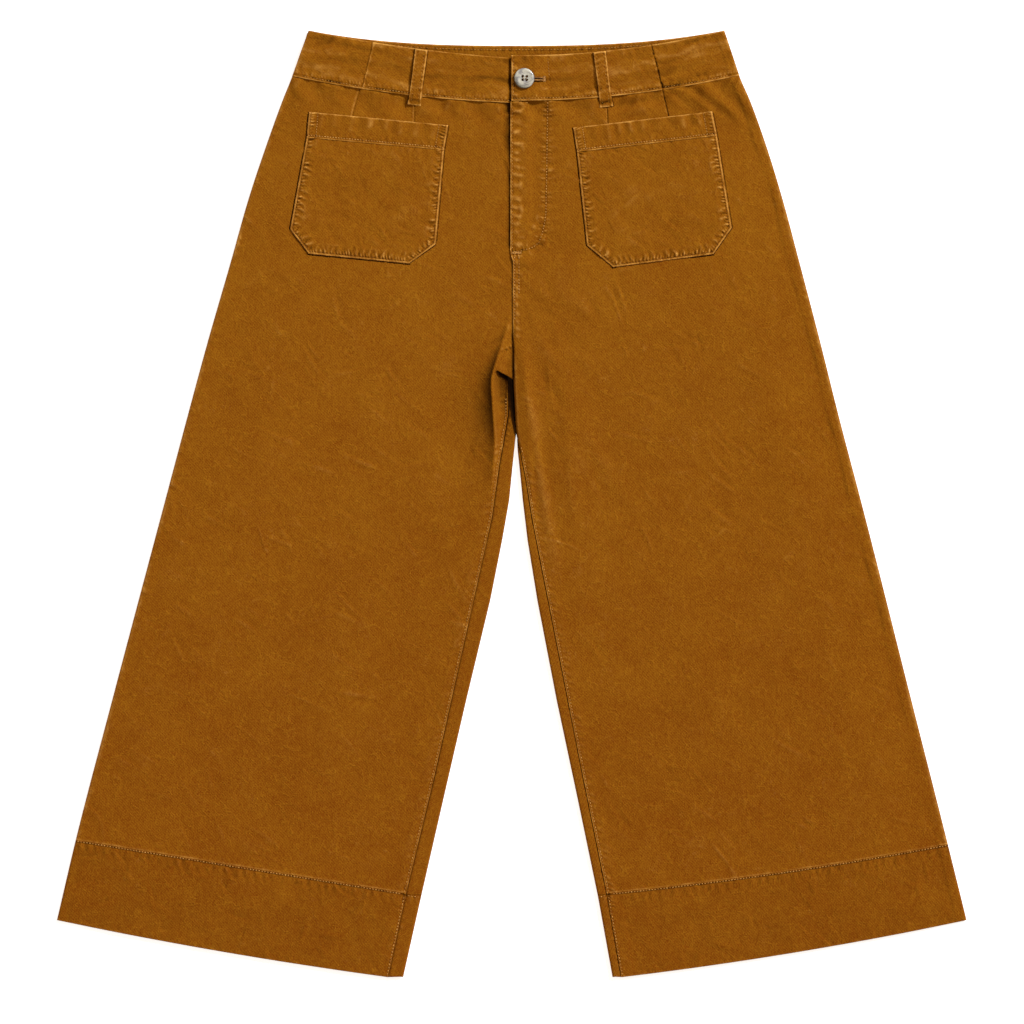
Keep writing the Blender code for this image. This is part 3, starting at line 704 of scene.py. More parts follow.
def dress(piece, slot, *nodes):
    """The piece rides with the garment and stands for the given solids, which are hidden. The slot is not
    used.
    """
    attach(piece, "root")
    if nodes:
        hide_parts(*nodes)


def sew(name, points, wear_and_painted_light, wall, cotton, flip=False, turn=False, node=None):
    """A piece of cloth: a shell in cotton that stands for the solid of its name, or for a node."""
    dress(shell(name + "_cloth", points, wear_and_painted_light, wall, cotton, flip, turn), "cotton", node or name)


def lift(x, y, z):
    return np.stack(np.broadcast_arrays(x, y, z), axis=-1)


# Finishes

class Value:
    """One socket of a finish. Sums and products of values add Math nodes."""

    def __init__(self, finish, socket):
        self.finish = finish
        self.socket = socket

    def math(self, operation, *others):
        inputs = dict(enumerate((self,) + others))
        return self.finish.node("ShaderNodeMath", {"operation": operation}, inputs)

    def __add__(self, other):
        return self.math("ADD", other)

    def __mul__(self, other):
        return self.math("MULTIPLY", other)

    def __sub__(self, other):
        return self.math("SUBTRACT", other)

    def __rsub__(self, other):
        return (self * -1).math("ADD", other)

    __radd__ = __add__
    __rmul__ = __mul__

    def above(self, other):
        return self.math("MAXIMUM", other)

    def below(self, other):
        return self.math("MINIMUM", other)

    def sine(self):
        return self.math("SINE")

    def absolute(self):
        return self.math("ABSOLUTE")

    def step(self, low, high):
        """0 below low, 1 above high, eased between."""
        inputs = {"Value": self, "From Min": low, "From Max": high, "To Min": 0, "To Max": 1}
        return self.finish.node("ShaderNodeMapRange", {"interpolation_type": "SMOOTHSTEP"}, inputs)


class Finish:
    """A material whose nodes all come from one method."""

    def __init__(self, name):
        self.material = bpy.data.materials.new(name)
        self.material.use_nodes = True
        self.tree = self.material.node_tree
        self.shader = self.tree.nodes["Principled BSDF"]

    def node(self, kind, settings=None, inputs=None, output=0):
        """Adds a node: its settings first, then the values or links of its sockets."""
        made = self.tree.nodes.new(kind)
        for name, value in (settings or {}).items():
            setattr(made, name, value)
        for name, value in (inputs or {}).items():
            self.set(made.inputs[name], value)
        return Value(self, made.outputs[output])

    def set(self, socket, value):
        if isinstance(value, Value):
            self.tree.links.new(value.socket, socket)
        else:
            socket.default_value = value

    def surface(self, **values):
        """Sets the shader's sockets, with underscores for the spaces of their names."""
        for name, value in values.items():
            self.set(self.shader.inputs[name.replace("_", " ")], value)

    def blend(self, amount, a, b):
        """Mixes two colours."""
        return self.node("ShaderNodeMix", {"data_type": "RGBA"}, {0: amount, 6: a, 7: b}, output=2)

    def noise(self, place, scale, detail=2, roughness=0.5, distortion=0):
        """Cloudy noise from 0 to 1."""
        inputs = {"Vector": place, "Scale": scale, "Detail": detail, "Roughness": roughness,
                  "Distortion": distortion}
        return self.node("ShaderNodeTexNoise", {}, inputs)

    def uneven(self, *noise):
        """Cloudy noise about 0."""
        return self.noise(*noise) - 0.5

    def veins(self, place, scale, detail, width):
        """1 on the thin lines where noise passes its middle, and 0 from a width off them."""
        return self.uneven(place, scale, detail).absolute().step(0, width) * -1 + 1

    def vector(self, operation, a, b):
        return self.node("ShaderNodeVectorMath", {"operation": operation}, {0: a, 1: b})

    def wobbled(self, place, scale, amount):
        """Places moved aside by soft noise."""
        inputs = {"Vector": place, "Scale": scale, "Detail": 1}
        shift = self.vector("SUBTRACT", self.node("ShaderNodeTexNoise", {}, inputs, output=1), (0.5,) * 3)
        return self.vector("ADD", place, self.vector("MULTIPLY", shift, (amount,) * 3))

    def turned(self, place, angle, stretch):
        """Places turned about z and stretched along x and y."""
        inputs = {"Vector": place, "Rotation": (0, 0, math.radians(angle)),
                  "Scale": (stretch[0], stretch[1], 1)}
        return self.node("ShaderNodeMapping", {}, inputs)


def colour(red, green, blue):
    """Linear colour from one given in 0 to 255 as on a screen."""
    parts = [c / 255 for c in (red, green, blue)]
    return tuple(c / 12.92 if c <= 0.04045 else ((c + 0.055) / 1.055) ** 2.4 for c in parts) + (1,)


def brushed_cotton(name):
    """Garment-dyed cotton twill: slanting ribs and nap, cloudy dye, pale rubbed ridges and painted
    highlights, dark grooves and painted shade, near-black painted shadow, and a painted light falloff down
    the garment.
    """
    f = Finish(name)
    room = f.node("ShaderNodeTexCoord", output="Object")
    cloth = f.node("ShaderNodeUVMap", {"uv_map": "cloth"})
    wear_and_painted_light = f.node("ShaderNodeAttribute", {"attribute_name": "wear_and_painted_light"}, output="Fac")
    sunk = wear_and_painted_light * -1

    # Dye, nap, the twill's ribs, and a painted light falloff from waist to hem
    broad = f.uneven(room, 17, 3, 0.55)
    patchy = f.uneven(room, 75, 3, 0.6)
    nap_place = f.turned(cloth, TWILL_TURN, (1, 0.5))
    nap = f.uneven(nap_place, 1000, 2, 0.65)
    tufts = f.uneven(nap_place, 360, 2, 0.55)
    fuzz = f.uneven(cloth, 1600, 1)
    slant = f.node("ShaderNodeSeparateXYZ", {}, {0: f.turned(cloth, TWILL_TURN, (1, 1))})
    ribs = (slant * (2 * math.pi / RIB_PITCH) + 5 * nap + 2 * tufts).sine()
    height = f.node("ShaderNodeSeparateXYZ", {}, {0: room}, output=1)
    # Painted light falloff: the cloth is paler towards the waist and darker towards the hem
    fade = (height + 0.42).step(0, 0.8) * 0.18

    # Thin creases and crinkles of washing, each only here and there
    bent = f.wobbled(cloth, 26, 0.016)
    falling = f.veins(f.turned(bent, 28, (1, 0.16)), 62, 2, 0.03)
    rising = f.veins(f.turned(bent, -38, (1, 0.22)), 50, 2, 0.03)
    creased = falling * f.noise(room, 24, 1).step(0.46, 0.66)
    creased = creased + rising * f.noise(room, 19, 1).step(0.5, 0.66)
    curled = f.turned(f.wobbled(cloth, 95, 0.007), 12, (0.75, 1))
    crinkled = f.veins(curled, 128, 1, 0.05) * f.noise(cloth, 70, 1).step(0.4, 0.6)
    frayed = f.veins(room, 95, 2, 0.016) * f.noise(room, 41, 1).step(0.54, 0.66)

    shade = 0.375 + 0.3 * broad + 0.32 * patchy + 1.18 * nap + 0.5 * tufts + 1.6 * fuzz + 0.105 * ribs
    shade = shade + fade + 0.08 * creased + 0.16 * crinkled
    rubbed = wear_and_painted_light.above(0) * (1 + 1.1 * tufts + 0.9 * nap) + 0.2 * frayed
    dark = sunk.above(0) * (1 - 0.5 * nap)
    tint = f.blend(shade.step(-0.3, 1.3), colour(111, 46, 2), colour(162, 105, 20))
    # Pale where rubbed, and painted highlights
    tint = f.blend(rubbed.step(0, 1.15) * 0.9, tint, colour(219, 158, 75))
    # Dark in grooves, and painted shade
    tint = f.blend(dark.step(0, 1.05) * 0.97, tint, colour(34, 13, 0))
    # Painted shadow: near black where the point values are lowest
    tint = f.blend(sunk.step(1.3, 2.8) * 0.9, tint, colour(5, 1, 0))

    fibres = 0.5 * nap + 0.35 * fuzz + 0.16 * ribs + 0.5 * tufts + 0.35 * creased + 1.9 * crinkled
    bump = f.node("ShaderNodeBump", {}, {"Strength": 0.3, "Distance": 0.00045, "Height": fibres})
    f.surface(Base_Color=tint, Roughness=0.86 + 0.18 * nap, Normal=bump, Metallic=0,
              Sheen_Weight=0.05, Sheen_Roughness=0.6, Sheen_Tint=(1, 0.55, 0.18, 1),
              Specular_IOR_Level=0.02)
    return f.material


def sewing_thread(name, light, dark):
    """Matt twisted thread, uneven in shade from stitch to stitch."""
    f = Finish(name)
    room = f.node("ShaderNodeTexCoord", output="Object")
    shade = f.noise(room, 260, 2, 0.6).step(0.35, 0.65)
    twist = f.noise(room, 3200, 1, 0.5) - 0.5
    bump = f.node("ShaderNodeBump", {}, {"Strength": 0.4, "Distance": 0.0002, "Height": twist})
    f.surface(Base_Color=f.blend(shade, colour(*dark), colour(*light)), Roughness=0.8 + 0.2 * twist,
              Normal=bump, Specular_IOR_Level=0.3)
    return f.material


def marbled_horn(name):
    """Polished horn: pale grey beige clouded with slate grey, faintly streaked; painted shade at the rim
    and towards one side, and painted highlights, from the point values.
    """
    f = Finish(name)
    room = f.node("ShaderNodeTexCoord", output="Object")
    wear_and_painted_light = f.node("ShaderNodeAttribute", {"attribute_name": "wear_and_painted_light"}, output="Fac")
    swirl = f.noise(f.turned(room, 35, (1, 1.6)), 105, 2, 0.5, 1.2)
    streak = f.noise(f.turned(room, -20, (1, 5)), 420, 2, 0.5, 0.4)
    base = f.blend(swirl.step(0.44, 0.62), colour(204, 198, 180), colour(134, 130, 131))
    warm = f.blend(streak.step(0.5, 0.72) * 0.35, base, colour(150, 138, 120))
    # Painted shade, then painted highlights
    rim = f.blend((wear_and_painted_light * -1).above(0).below(1) * 0.85, warm, colour(78, 72, 54))
    crest = f.blend(wear_and_painted_light.above(0).below(1) * 0.75, rim, colour(232, 225, 206))
    f.surface(Base_Color=crest, Roughness=0.26 + 0.2 * streak, Coat_Weight=0.3,
              Specular_IOR_Level=0.5)
    return f.material


# Fronts

SIDE_ROUND = 3    # radius at which the fronts turn down to the side seams
SIDE_MEETING = 1.35    # height at which front and back meet along the side seam
ALLOWANCE = 8    # turned-in cloth along the side seams, felt through the front
MIDDLE_COLUMNS = 88

SIDE_STEPS = np.concatenate([SIDE_ROUND * (1 - np.cos(np.radians(np.arange(0, 91, 15)))),
                             [4.2, 5.4, 6.6, 7.6, 8.6, 9.8, 12, 15, 19]])
INNER_STEPS = {
    "right": np.concatenate([[0, 0.35, 0.8, 1.4, 2.1, 3, 4, 5, 6, 7],
                             np.arange(8, 20, 0.9),
                             [20.8, 22.2, 24, 26.2, 29, 32.5, 36.5, 41, 46, 52, 59]]),
    "left": np.concatenate([[0, 0.3, 0.7, 1.2, 1.8, 2.5, 3.3, 4.2, 5.2, 6.3, 7.5, 8.8, 10.2, 11.7, 13.3,
                             15, 16.8, 18.8, 21, 23.4, 26, 28.4, 29.8],
                            np.arange(30.6, 34, 0.8), [35.2, 37.5, 41, 46, 52, 59]]),
}
SEAM_FRACTIONS = {"right": (0.264, 0.653), "left": (0.197, 0.585)}    # short seams, from inside


def front_columns(side, outer_x, inner_x):
    """x of the columns: fixed steps in from both edges, even steps between, closer at the short seams."""
    sign = SIGN[side]
    near = outer_x - sign * SIDE_STEPS
    far = (inner_x + sign * INNER_STEPS[side])[:, ::-1]
    even = np.linspace(0, 1, MIDDLE_COLUMNS + 2)[1:-1]
    clear = np.all([abs(even - at) > 0.034 for at in SEAM_FRACTIONS[side]], axis=0)
    close = [at + np.arange(-6, 6.5, 1) * 0.0048 for at in SEAM_FRACTIONS[side]]
    fractions = np.sort(np.concatenate([even[clear]] + close))[::-1]
    middle = mix(far[:, :1], near[:, -1:], fractions)
    return np.concatenate([near, middle, far], axis=1)


def front_rows(side, upper, lower, inner_y):
    """Ends of the rows at the side seam, and their sag, for rows that end at inner_y."""
    lines = ACROSS[side]
    v = (inner_y - lines["inner"][upper]) / (lines["inner"][lower] - lines["inner"][upper])
    outer_y = mix(lines["side"][upper], lines["side"][lower], v)
    sag = mix(lines["sag"][upper], lines["sag"][lower], v)
    return outer_y[:, None], sag[:, None]


def side_turn(x, y, top):
    """The front's height near its side seam: down a quarter round to where it meets the back."""
    return SIDE_MEETING + (top - SIDE_MEETING) * quarter_round(from_side(x, y), SIDE_ROUND)


def side_allowance(side, x, y):
    """Cloth turned in along the side seam, felt through the front as a low step of uneven width, with
    painted shade along the step's inner side.
    """
    seed = SEEDS["front"][side]
    d = from_side(x, y)
    width = ALLOWANCE + 1.1 * wander(y / 31, seed)
    swell = 0.7 + 0.3 * wander(y / 17, seed + 1)
    low = 0.35 + 0.65 * ease((y + 260) / 200)
    return sum([
        relief(0.42, 0, (1 - ease((d - width) / 2.4)) * swell * low),
        tone(0.42 * bell((d - 1.4) / 1.8) * swell),
        tone(-UPRIGHT[side]["allowance"], bell((d - width - 1.4) / 2) * swell * low),
        puckers("side seam", d, y, seed + 2),
    ])


def short_seams(side, x, y):
    """The short seams between waistband and pockets: a broken groove with a rubbed crest beside it."""
    seed = SEEDS["front"][side]
    # Darker and less pale on the left side: painted light and shade
    dark, pale = UPRIGHT[side]["short seam"]
    broken = 0.94 + 0.2 * wander(y / 1.1, seed + 17)
    total = 0
    for ends in DARTS[side]:
        off, within = line_off(x, y, ends)
        total = total + within * sum([
            groove(off, 0.45, 0.5, dark) * broken,
            relief(0.1, pale * (1.25 - 0.5 * broken), bell((off - 1.1) / 0.6)),
            puckers("short seam", np.abs(off), y, seed + 3),
        ])
    return total


def below_waist(side, x, y):
    """The front just below the waistband: raised where the seam's allowance lies, with a faint painted
    shadow just under the band, then puckered.
    """
    seed = SEEDS["front"][side]
    down = across(side, WAIST, x) - y
    return sum([
        relief(0.8 * ease((9 - down) / 9), -0.12 * bell((down - 0.2) / 0.9)),
        puckers("waist", down, x, seed + 4),
        puckers("waist, long", down, x, seed + 5),
    ])


def beside_inseam(side, x, y):
    """The front's inner edge below the crotch: rubbed, sewn, puckered, raised over its allowance."""
    seed = SEEDS["front"][side]
    inner = (x - inner_edge_x(side, y)) * SIGN[side]
    uneven = 0.8 + 0.35 * wander(y / 5, seed + 6)
    return ease((INSEAM[side]["y"][0] - 12 - y) / 12) * sum([
        tone(0.46 * bell((inner - 0.4) / 0.5) * uneven),
        sewn_line("inseam", inner, y, seed + 7),
        puckers("inseam", inner, y, seed + 8),
        relief(0.25, 0.06, 1 - ease((inner - 9) / 2.5)),
    ])


def above_hem(side, x, y):
    """The front just above the hem's seam: a rubbed ridge, the seam's trough and puckers."""
    seed = SEEDS["front"][side]
    up = y - hem_line(side, HEM_SEAM, x)
    ridge = relief(0.3 * bell((up - 1.9) / 1.3), 0.48 * bell((up - 1.7) / 0.9))
    return sum([
        ridge * (0.78 + 0.25 * wander(x / 9, seed + 9)),
        sewn_line("above hem", up, x, seed + 10),
        puckers("above hem", up, x, seed + 11),
    ])


def front_ripple(side, x, y):
    """Faint unevenness of a front, which what lies on it follows."""
    return ripples(x, y, SEEDS["front"][side] + 12, 0.15)


def front_finish(side, x, y):
    """Relief of a front: its seams, its creases paler on their rubbed crests with painted shade in their
    troughs, painted shade on the hip, and the wash.
    """
    hip_x, hip_painted_shade = HIP_SHADE[side]
    # Painted shade on the hip just below the waistband
    hollow = bell((x - hip_x) / 40) * ease((y - 318) / 24)
    box = {"right": (-400, 0), "left": (0, 400)}[side] + (-344, 352)
    return sum([
        side_allowance(side, x, y),
        short_seams(side, x, y),
        below_waist(side, x, y),
        beside_inseam(side, x, y),
        above_hem(side, x, y),
        # Creases paler on their rubbed crests, with painted shade in their troughs
        tone(0.14 * folds(x, y, CREASES)),
        tone(-hip_painted_shade * hollow),
        front_ripple(side, x, y),
        wash_creases(x, y, SEEDS["front"][side] + 13, 460, box, (12, 62), 0.25),
    ])


def lip_y(x):
    """y at x of the front edge of the doubled lip, a shallow bow."""
    x0, y0, bow, slope = LIP
    return y0 - bow * (x - x0) ** 2 - slope * (x - x0)


def doubled_lip(x, y):
    """Where the crotch fold doubles back: its middle, t from 1 above it to -1 below, and how much."""
    amount = ease((x - read_smooth(RIDGE, "x", y) - 0.4) / 6.5)
    centre = lip_y(x) + 0.51 * LIP_REACH * amount
    t = np.clip((y - centre) / LIP_REACH, -1, 1)
    return centre, t, amount


def right_front_height(x, y):
    """The right front: a wide flank of the ridge above the lip, a narrow one below it."""
    t = doubled_lip(x, y)[1]
    above = ridge_height(x, y, read(FLANK_ABOVE, "width", y))
    to_centre = ease((x + 17) / 17) * ease((y - 104) / 3) * ease((158 - y) / 26)
    above = np.maximum(above, 2.4 * to_centre)
    sunk = 1.8 * bell((y - 104) / 16) * ease((x + 14) / 9)
    below = ridge_height(x, y, read(FLANK_BELOW, "width", y)) - sunk
    height = mix(below, above, ease((t + 0.7) / 1.4))
    return np.maximum(front_rest(x, y) + height, 1.6)


# Painted shade beside the ridge of the crotch: how deep it is and how far it reaches
PAINTED_RIDGE_SHADE = table("y depth reach", [
    (168, 0, 3), (154, 0.62, 3.2), (135, 0.92, 4.6), (112, 0.98, 7.5), (84, 1.05, 11.5),
    (62, 0.82, 11), (40, 0.6, 10), (12, 0.2, 7), (0, 0, 6),
])


def crotch_finish(x, y):
    """Painted shade, shadow and highlight round the crotch fold of the right front, and the seam across
    its gusset.
    """
    t = doubled_lip(x, y)[1]
    off = x - read_smooth(RIDGE, "x", y)
    depth = read(PAINTED_RIDGE_SHADE, "depth", y)
    outside = np.exp(np.minimum(off, 0) / read(PAINTED_RIDGE_SHADE, "reach", y)) * ease((0.2 - off) / 1.4)
    beneath = lip_y(x) - y
    hidden = ease((0.55 - t) / 0.35) * ease((off - 2.4) / 3)
    deep = mix(0.8, 3.6, np.clip((x + 13) / 12, 0, 1))
    shaded = ease((0.3 - t) / 0.4) * ease(off / 2) * (1 - ease((beneath - 16) / 44))
    gusset = ease((t - 0.35) / 0.2) * ease((158 - y) / 10) * ease(off / 3)
    cross_seam = y - (136.6 + 0.028 * (x + 10) ** 2 + 0.1 * x)
    return sum([
        # Painted shade beside the ridge, and a painted highlight on its inner flank
        tone(-0.95 * depth * outside),
        tone(0.16 * ease(depth / 0.4) * bell((off - 1.3) / 1.2)),
        # Painted shadow under the lip, and painted shade below it
        tone(-1.8 * hidden * (1 - ease((beneath - deep) / 1.8))),
        tone(-shaded * (0.22 + 0.42 * ease((off - 3) / 7))),
        # Painted shadow along the left front's edge, and painted shade over the gusset, darkest by the
        # lip, with a painted highlight a little above it
        tone(-0.7 * bell((x - 0.9) / 1.1) * ease((150 - y) / 10), gusset),
        tone(-0.16 - 0.35 * bell((beneath + 0.4) / 2) + 0.16 * bell((beneath + 5.5) / 2.6), gusset),
        # The seam across the gusset: a dark trough and a rubbed crest
        relief(-0.3, -0.7, bell((cross_seam + 1.2) / 0.8) * gusset),
        relief(0.25, 0.7, bell(cross_seam / 0.7) * gusset),
    ])


def front_right_points(inner_y):
    """The right front. At the lip a point's y becomes centre + reach * (t - swing * sin(pi t) / pi), so
    that the cloth comes forward, runs back beneath itself and comes forward again, while it goes down.
    """
    outer_y, sag = front_rows("right", WAIST, HEM_SEAM, inner_y)
    edge_y = inner_y[:, None]
    outer_x = side_x("right", outer_y)
    centre_x = read(CENTRE_EDGE["right"], "x", edge_y)
    under_fly = 8.5 * ease((edge_y - FLY_END + 3) / 6)
    below_lip = ease((114.6 - edge_y) / 4)
    inner_x = mix(centre_x + under_fly, read(INSEAM["right"], "x", edge_y), below_lip)
    x = front_columns("right", outer_x, inner_x)
    u = np.clip((x - outer_x) / (mix(centre_x, inner_x, below_lip) - outer_x), 0, 1)
    y = mix(outer_y, edge_y, u) - 4 * sag * u * (1 - u)

    centre, t, amount = doubled_lip(x, y)
    doubled = centre + LIP_REACH * (t - LIP_SWING * np.sin(math.pi * t) / math.pi)
    z = right_front_height(x, y)
    finish = front_finish("right", x, y) + crotch_finish(x, y)
    # Painted shadow on the right front beside the fly's edge, where the left front laps over it, and a
    # painted shadow line along the centre below the fly
    lap = ease((edge_y - FLY_END) / 6)
    reach = mix(1.6, 4.4, ease((y - 262) / 85))
    beside = np.exp(np.minimum(x + 1.9, 0) / reach) * ease((x + 11) / 5)
    uneven = 0.9 + 0.2 * wander(y / 19, SEEDS["fly"] + 8)
    finish = finish - tone(1.05 * lap * beside * uneven)
    finish = finish - tone(0.8 * (1 - lap) * ease((y - 140) / 8) * bell((x - 0.7) / 1.1))
    y = np.where(np.abs(t) < 1, mix(y, doubled, amount), y)
    return lift(x, y, side_turn(x, y, z + finish[0])), finish[1]


def front_left_points(inner_y):
    """The left front: lapped over at the fly, and rolled down at its free edge below the crotch."""
    outer_y, sag = front_rows("left", WAIST, HEM_SEAM, inner_y)
    edge_y = inner_y[:, None]
    outer_x = side_x("left", outer_y)
    inner_x = inner_edge_x("left", edge_y)
    x = front_columns("left", outer_x, inner_x)
    u = (x - outer_x) / (inner_x - outer_x)
    y = mix(outer_y, edge_y, u) - 4 * sag * u * (1 - u)
    z = front_rest(x, y) + fly_lap(x, y)
    finish = front_finish("left", x, y) + fly_finish(x, y)
    d = x - inner_x
    edge_z = mix(0.95, z, ease((edge_y - 128) / 34))
    edge_z = mix(edge_z, z, ease((52 - edge_y) / 10))
    z = edge_z + (z - edge_z) * quarter_round(d, 2.2)
    rolled = ease((140 - edge_y) / 20) * ease((edge_y - 48) / 8)
    # A paler band along the rolled fold, and painted shade at the very edge where it turns under
    finish = finish + tone(0.34 * bell((d - 1.9) / 1.3) - 0.8 * bell(d / 0.4)) * rolled
    return lift(x, y, side_turn(x, y, z + finish[0])), finish[1]


def fly_creases(x, y, seed):
    """Long soft puckers of the fly: each a ridge on its line of corners, with a trough round it."""
    total = 0
    for number, corners in enumerate(FLY_CREASES):
        off, along = to_segments(x, y, corners)
        whole = sum(math.dist(a, b) for a, b in zip(corners, corners[1:]))
        uneven = 0.85 + 0.2 * wander(along / 3, seed + number)
        swell = np.sin(math.pi * np.clip(along / whole, 0, 1)) ** 0.6 * uneven
        total = total + relief(0.7, 0.34, swell * bell(off / 1.6))
        total = total - relief(0.35, 0.16, swell * bell((off - 2.9) / 1.2))
    return total


def fly_finish(x, y):
    """The fly: rubbed edge with long puckers, the curved stitching and the rise seam below it."""
    seed = SEEDS["fly"]
    d = x - read(CENTRE_EDGE["left"], "x", y)
    upper = ease((y - FLY_END + 4) / 6)
    rise = ease((FLY_END - 2 - y) / 4) * ease((y - 140) / 10)
    dotted = 0.95 + 0.38 * np.sin(2 * math.pi * y / 2.6)
    off, along = to_segments(x, y, FLY_CURVE)
    return sum([
        upper * sum([
            turned_edge("fly", d, y, seed + 1) * dotted,
            sewn_line("fly edge", d, y, seed),
            puckers("fly edge, long", d, y, seed + 2),
            puckers("fly edge", d, y, seed + 7),
            tone(0.14 * bell((d - 7.5) / 6)),
            fly_creases(x, y, seed + 20),
        ]),
        sewn_line("fly curve", off, along, seed + 3),
        puckers("fly curve", off, along, seed + 4),
        puckers("fly curve, long", off, along, seed + 8),
        rise * sum([
            turned_edge("rise", d, y, seed + 5),
            sewn_line("rise", d, y, seed + 9),
            sewn_line("rise, second", d, y, seed + 10) * ease((y - 165) / 10),
            relief(0.15, 0.26 * bell((d - 3.6) / 2.6)),
            puckers("rise", d, y, seed + 6),
        ]),
        relief(-0.3, -1, bell(y - FLY_END + 0.6) * ease((9.5 - x) / 2)),
        relief(0.1, 0.5, bell((y - FLY_END + 3) / 0.8) * ease((9 - x) / 2)),
    ])


def make_fronts(cotton):
    waist, hem = ({side: ACROSS[side]["inner"][line] + into for side in SIGN}
                  for line, into in ((WAIST, -0.05), (HEM_SEAM, 0.05)))
    rows = stations((waist["right"], 1), (340, 1.8), (128, 0.5), (98, 1.8), (hem["right"] + 6, 0.6),
                    (hem["right"], 0))
    sew("front_right", *front_right_points(rows), SHELL, cotton)
    rows = stations((waist["left"], 1), (340, 1.65), (hem["left"] + 6, 0.6), (hem["left"], 0))
    sew("front_left", *front_left_points(rows), SHELL, cotton, flip=True)


# Backs

BACK_ROUND = 2.4    # radius at which the backs turn up to the side seams
BACK_STEPS = np.concatenate([BACK_ROUND * (1 - np.cos(np.radians(np.arange(0, 91, 22.5)))),
                             [4, 7, 12]])
OVERLAP = 1.4    # how far the rolled strip runs on beneath the front
STRIP_SUNK = {"right": (1.5, 92, 34), "left": (0.3, 45, 20)}    # how much, where, how far


def roll_over(side, outer, inner_y, top, flat_steps, start=None):
    """A back: flat from the side seam, half a circle round the inner fold, back to the inseam.

    outer holds the rows' ends (x, y) at the side seam. Past start the roll grows from nothing. At the
    side the cloth turns up to meet the front. The strip ends a little way beneath the front.
    """
    grown = np.ones_like(inner_y) if start is None else ease((start - inner_y) / ROLL_GROWTH)
    fold = np.stack([read(FOLD_EDGE[side], "x", inner_y), inner_y], axis=1)
    inseam = np.stack([read(INSEAM[side], "x", inner_y) + SIGN[side] * OVERLAP, inner_y], axis=1)
    span = fold - outer
    way = span / np.linalg.norm(span, axis=-1, keepdims=True)
    height = top(fold[:, 0] - 2 * way[:, 0], inner_y) * grown
    radius = np.maximum(height, SHELL * 2.2)[:, None] / 2
    tangent = fold - way * radius
    points = []
    for d in BACK_STEPS:
        points.append(lift(*(outer + way * d).T, SIDE_MEETING * (1 - quarter_round(d, BACK_ROUND))))
    for u in flat_steps:
        points.append(lift(*mix(outer + way * BACK_STEPS[-1], tangent, u).T, 0))
    for angle in np.linspace(0, math.pi, 15)[1:]:
        xy = tangent + way * radius * math.sin(angle)
        points.append(lift(*xy.T, radius[:, 0] * (1 - math.cos(angle))))
    for u in np.linspace(0, 1, 13)[1:]:
        x, y = mix(tangent, inseam, u).T
        strip = np.maximum(top(x, y) * grown, 2 * radius[:, 0])
        z = mix(2 * radius[:, 0], strip, ease(u / 0.35))
        ledge = 0.9 * ease((OVERLAP + 1.2 - np.abs(x - inseam[:, 0])) / 1.6)
        points.append(lift(x, y, np.maximum(z - ledge * grown, 2 * SHELL)))
    return np.stack(points, axis=1), len(BACK_STEPS) + len(flat_steps)


def back_band_y(line, x):
    """y at x of the back waistband's top or seam: level at the sides, dipping between them."""
    outer = BACK_BAND["side"][line]
    right, left = side_x("right", outer), side_x("left", outer)
    u = np.clip((x - right) / (left - right), 0, 1)
    return outer - BACK_BAND["dip"][line] * (1 - np.abs(2 * u - 1) ** BACK_BAND_POWER)


def strip_finish(side, x, y, flat_columns):
    """Relief of the rolled strip: a trough with painted shadow beside the inseam, under the front's edge,
    and puckers along it.
    """
    inner = (read(INSEAM[side], "x", y) - x) * SIGN[side]
    rolled = np.zeros_like(x)
    rolled[:, flat_columns + 5:] = 1
    seam = relief(-0.25 * bell((inner - 0.6) / 1.2), -0.85 * bell((inner - 0.2) / 0.7))
    return (seam + puckers("roll", inner, y, SEEDS["roll"][side])) * rolled


def hidden_creases(x, y, seed):
    """Soft troughs pressed up into the side that rests, never below it: noise above its middle."""
    return 0.5 * np.maximum(cloud(x + 0.4 * y, 0.25 * y, 38, seed), 0) ** 1.5


# Left edge of the painted shadow in the gap between the legs, just below the crotch
GAP_LINE = table("y x", [
    (124, -4.5), (104, -3.2), (91, -1.9), (82, -0.8), (73, 0.6), (60, 3),
])


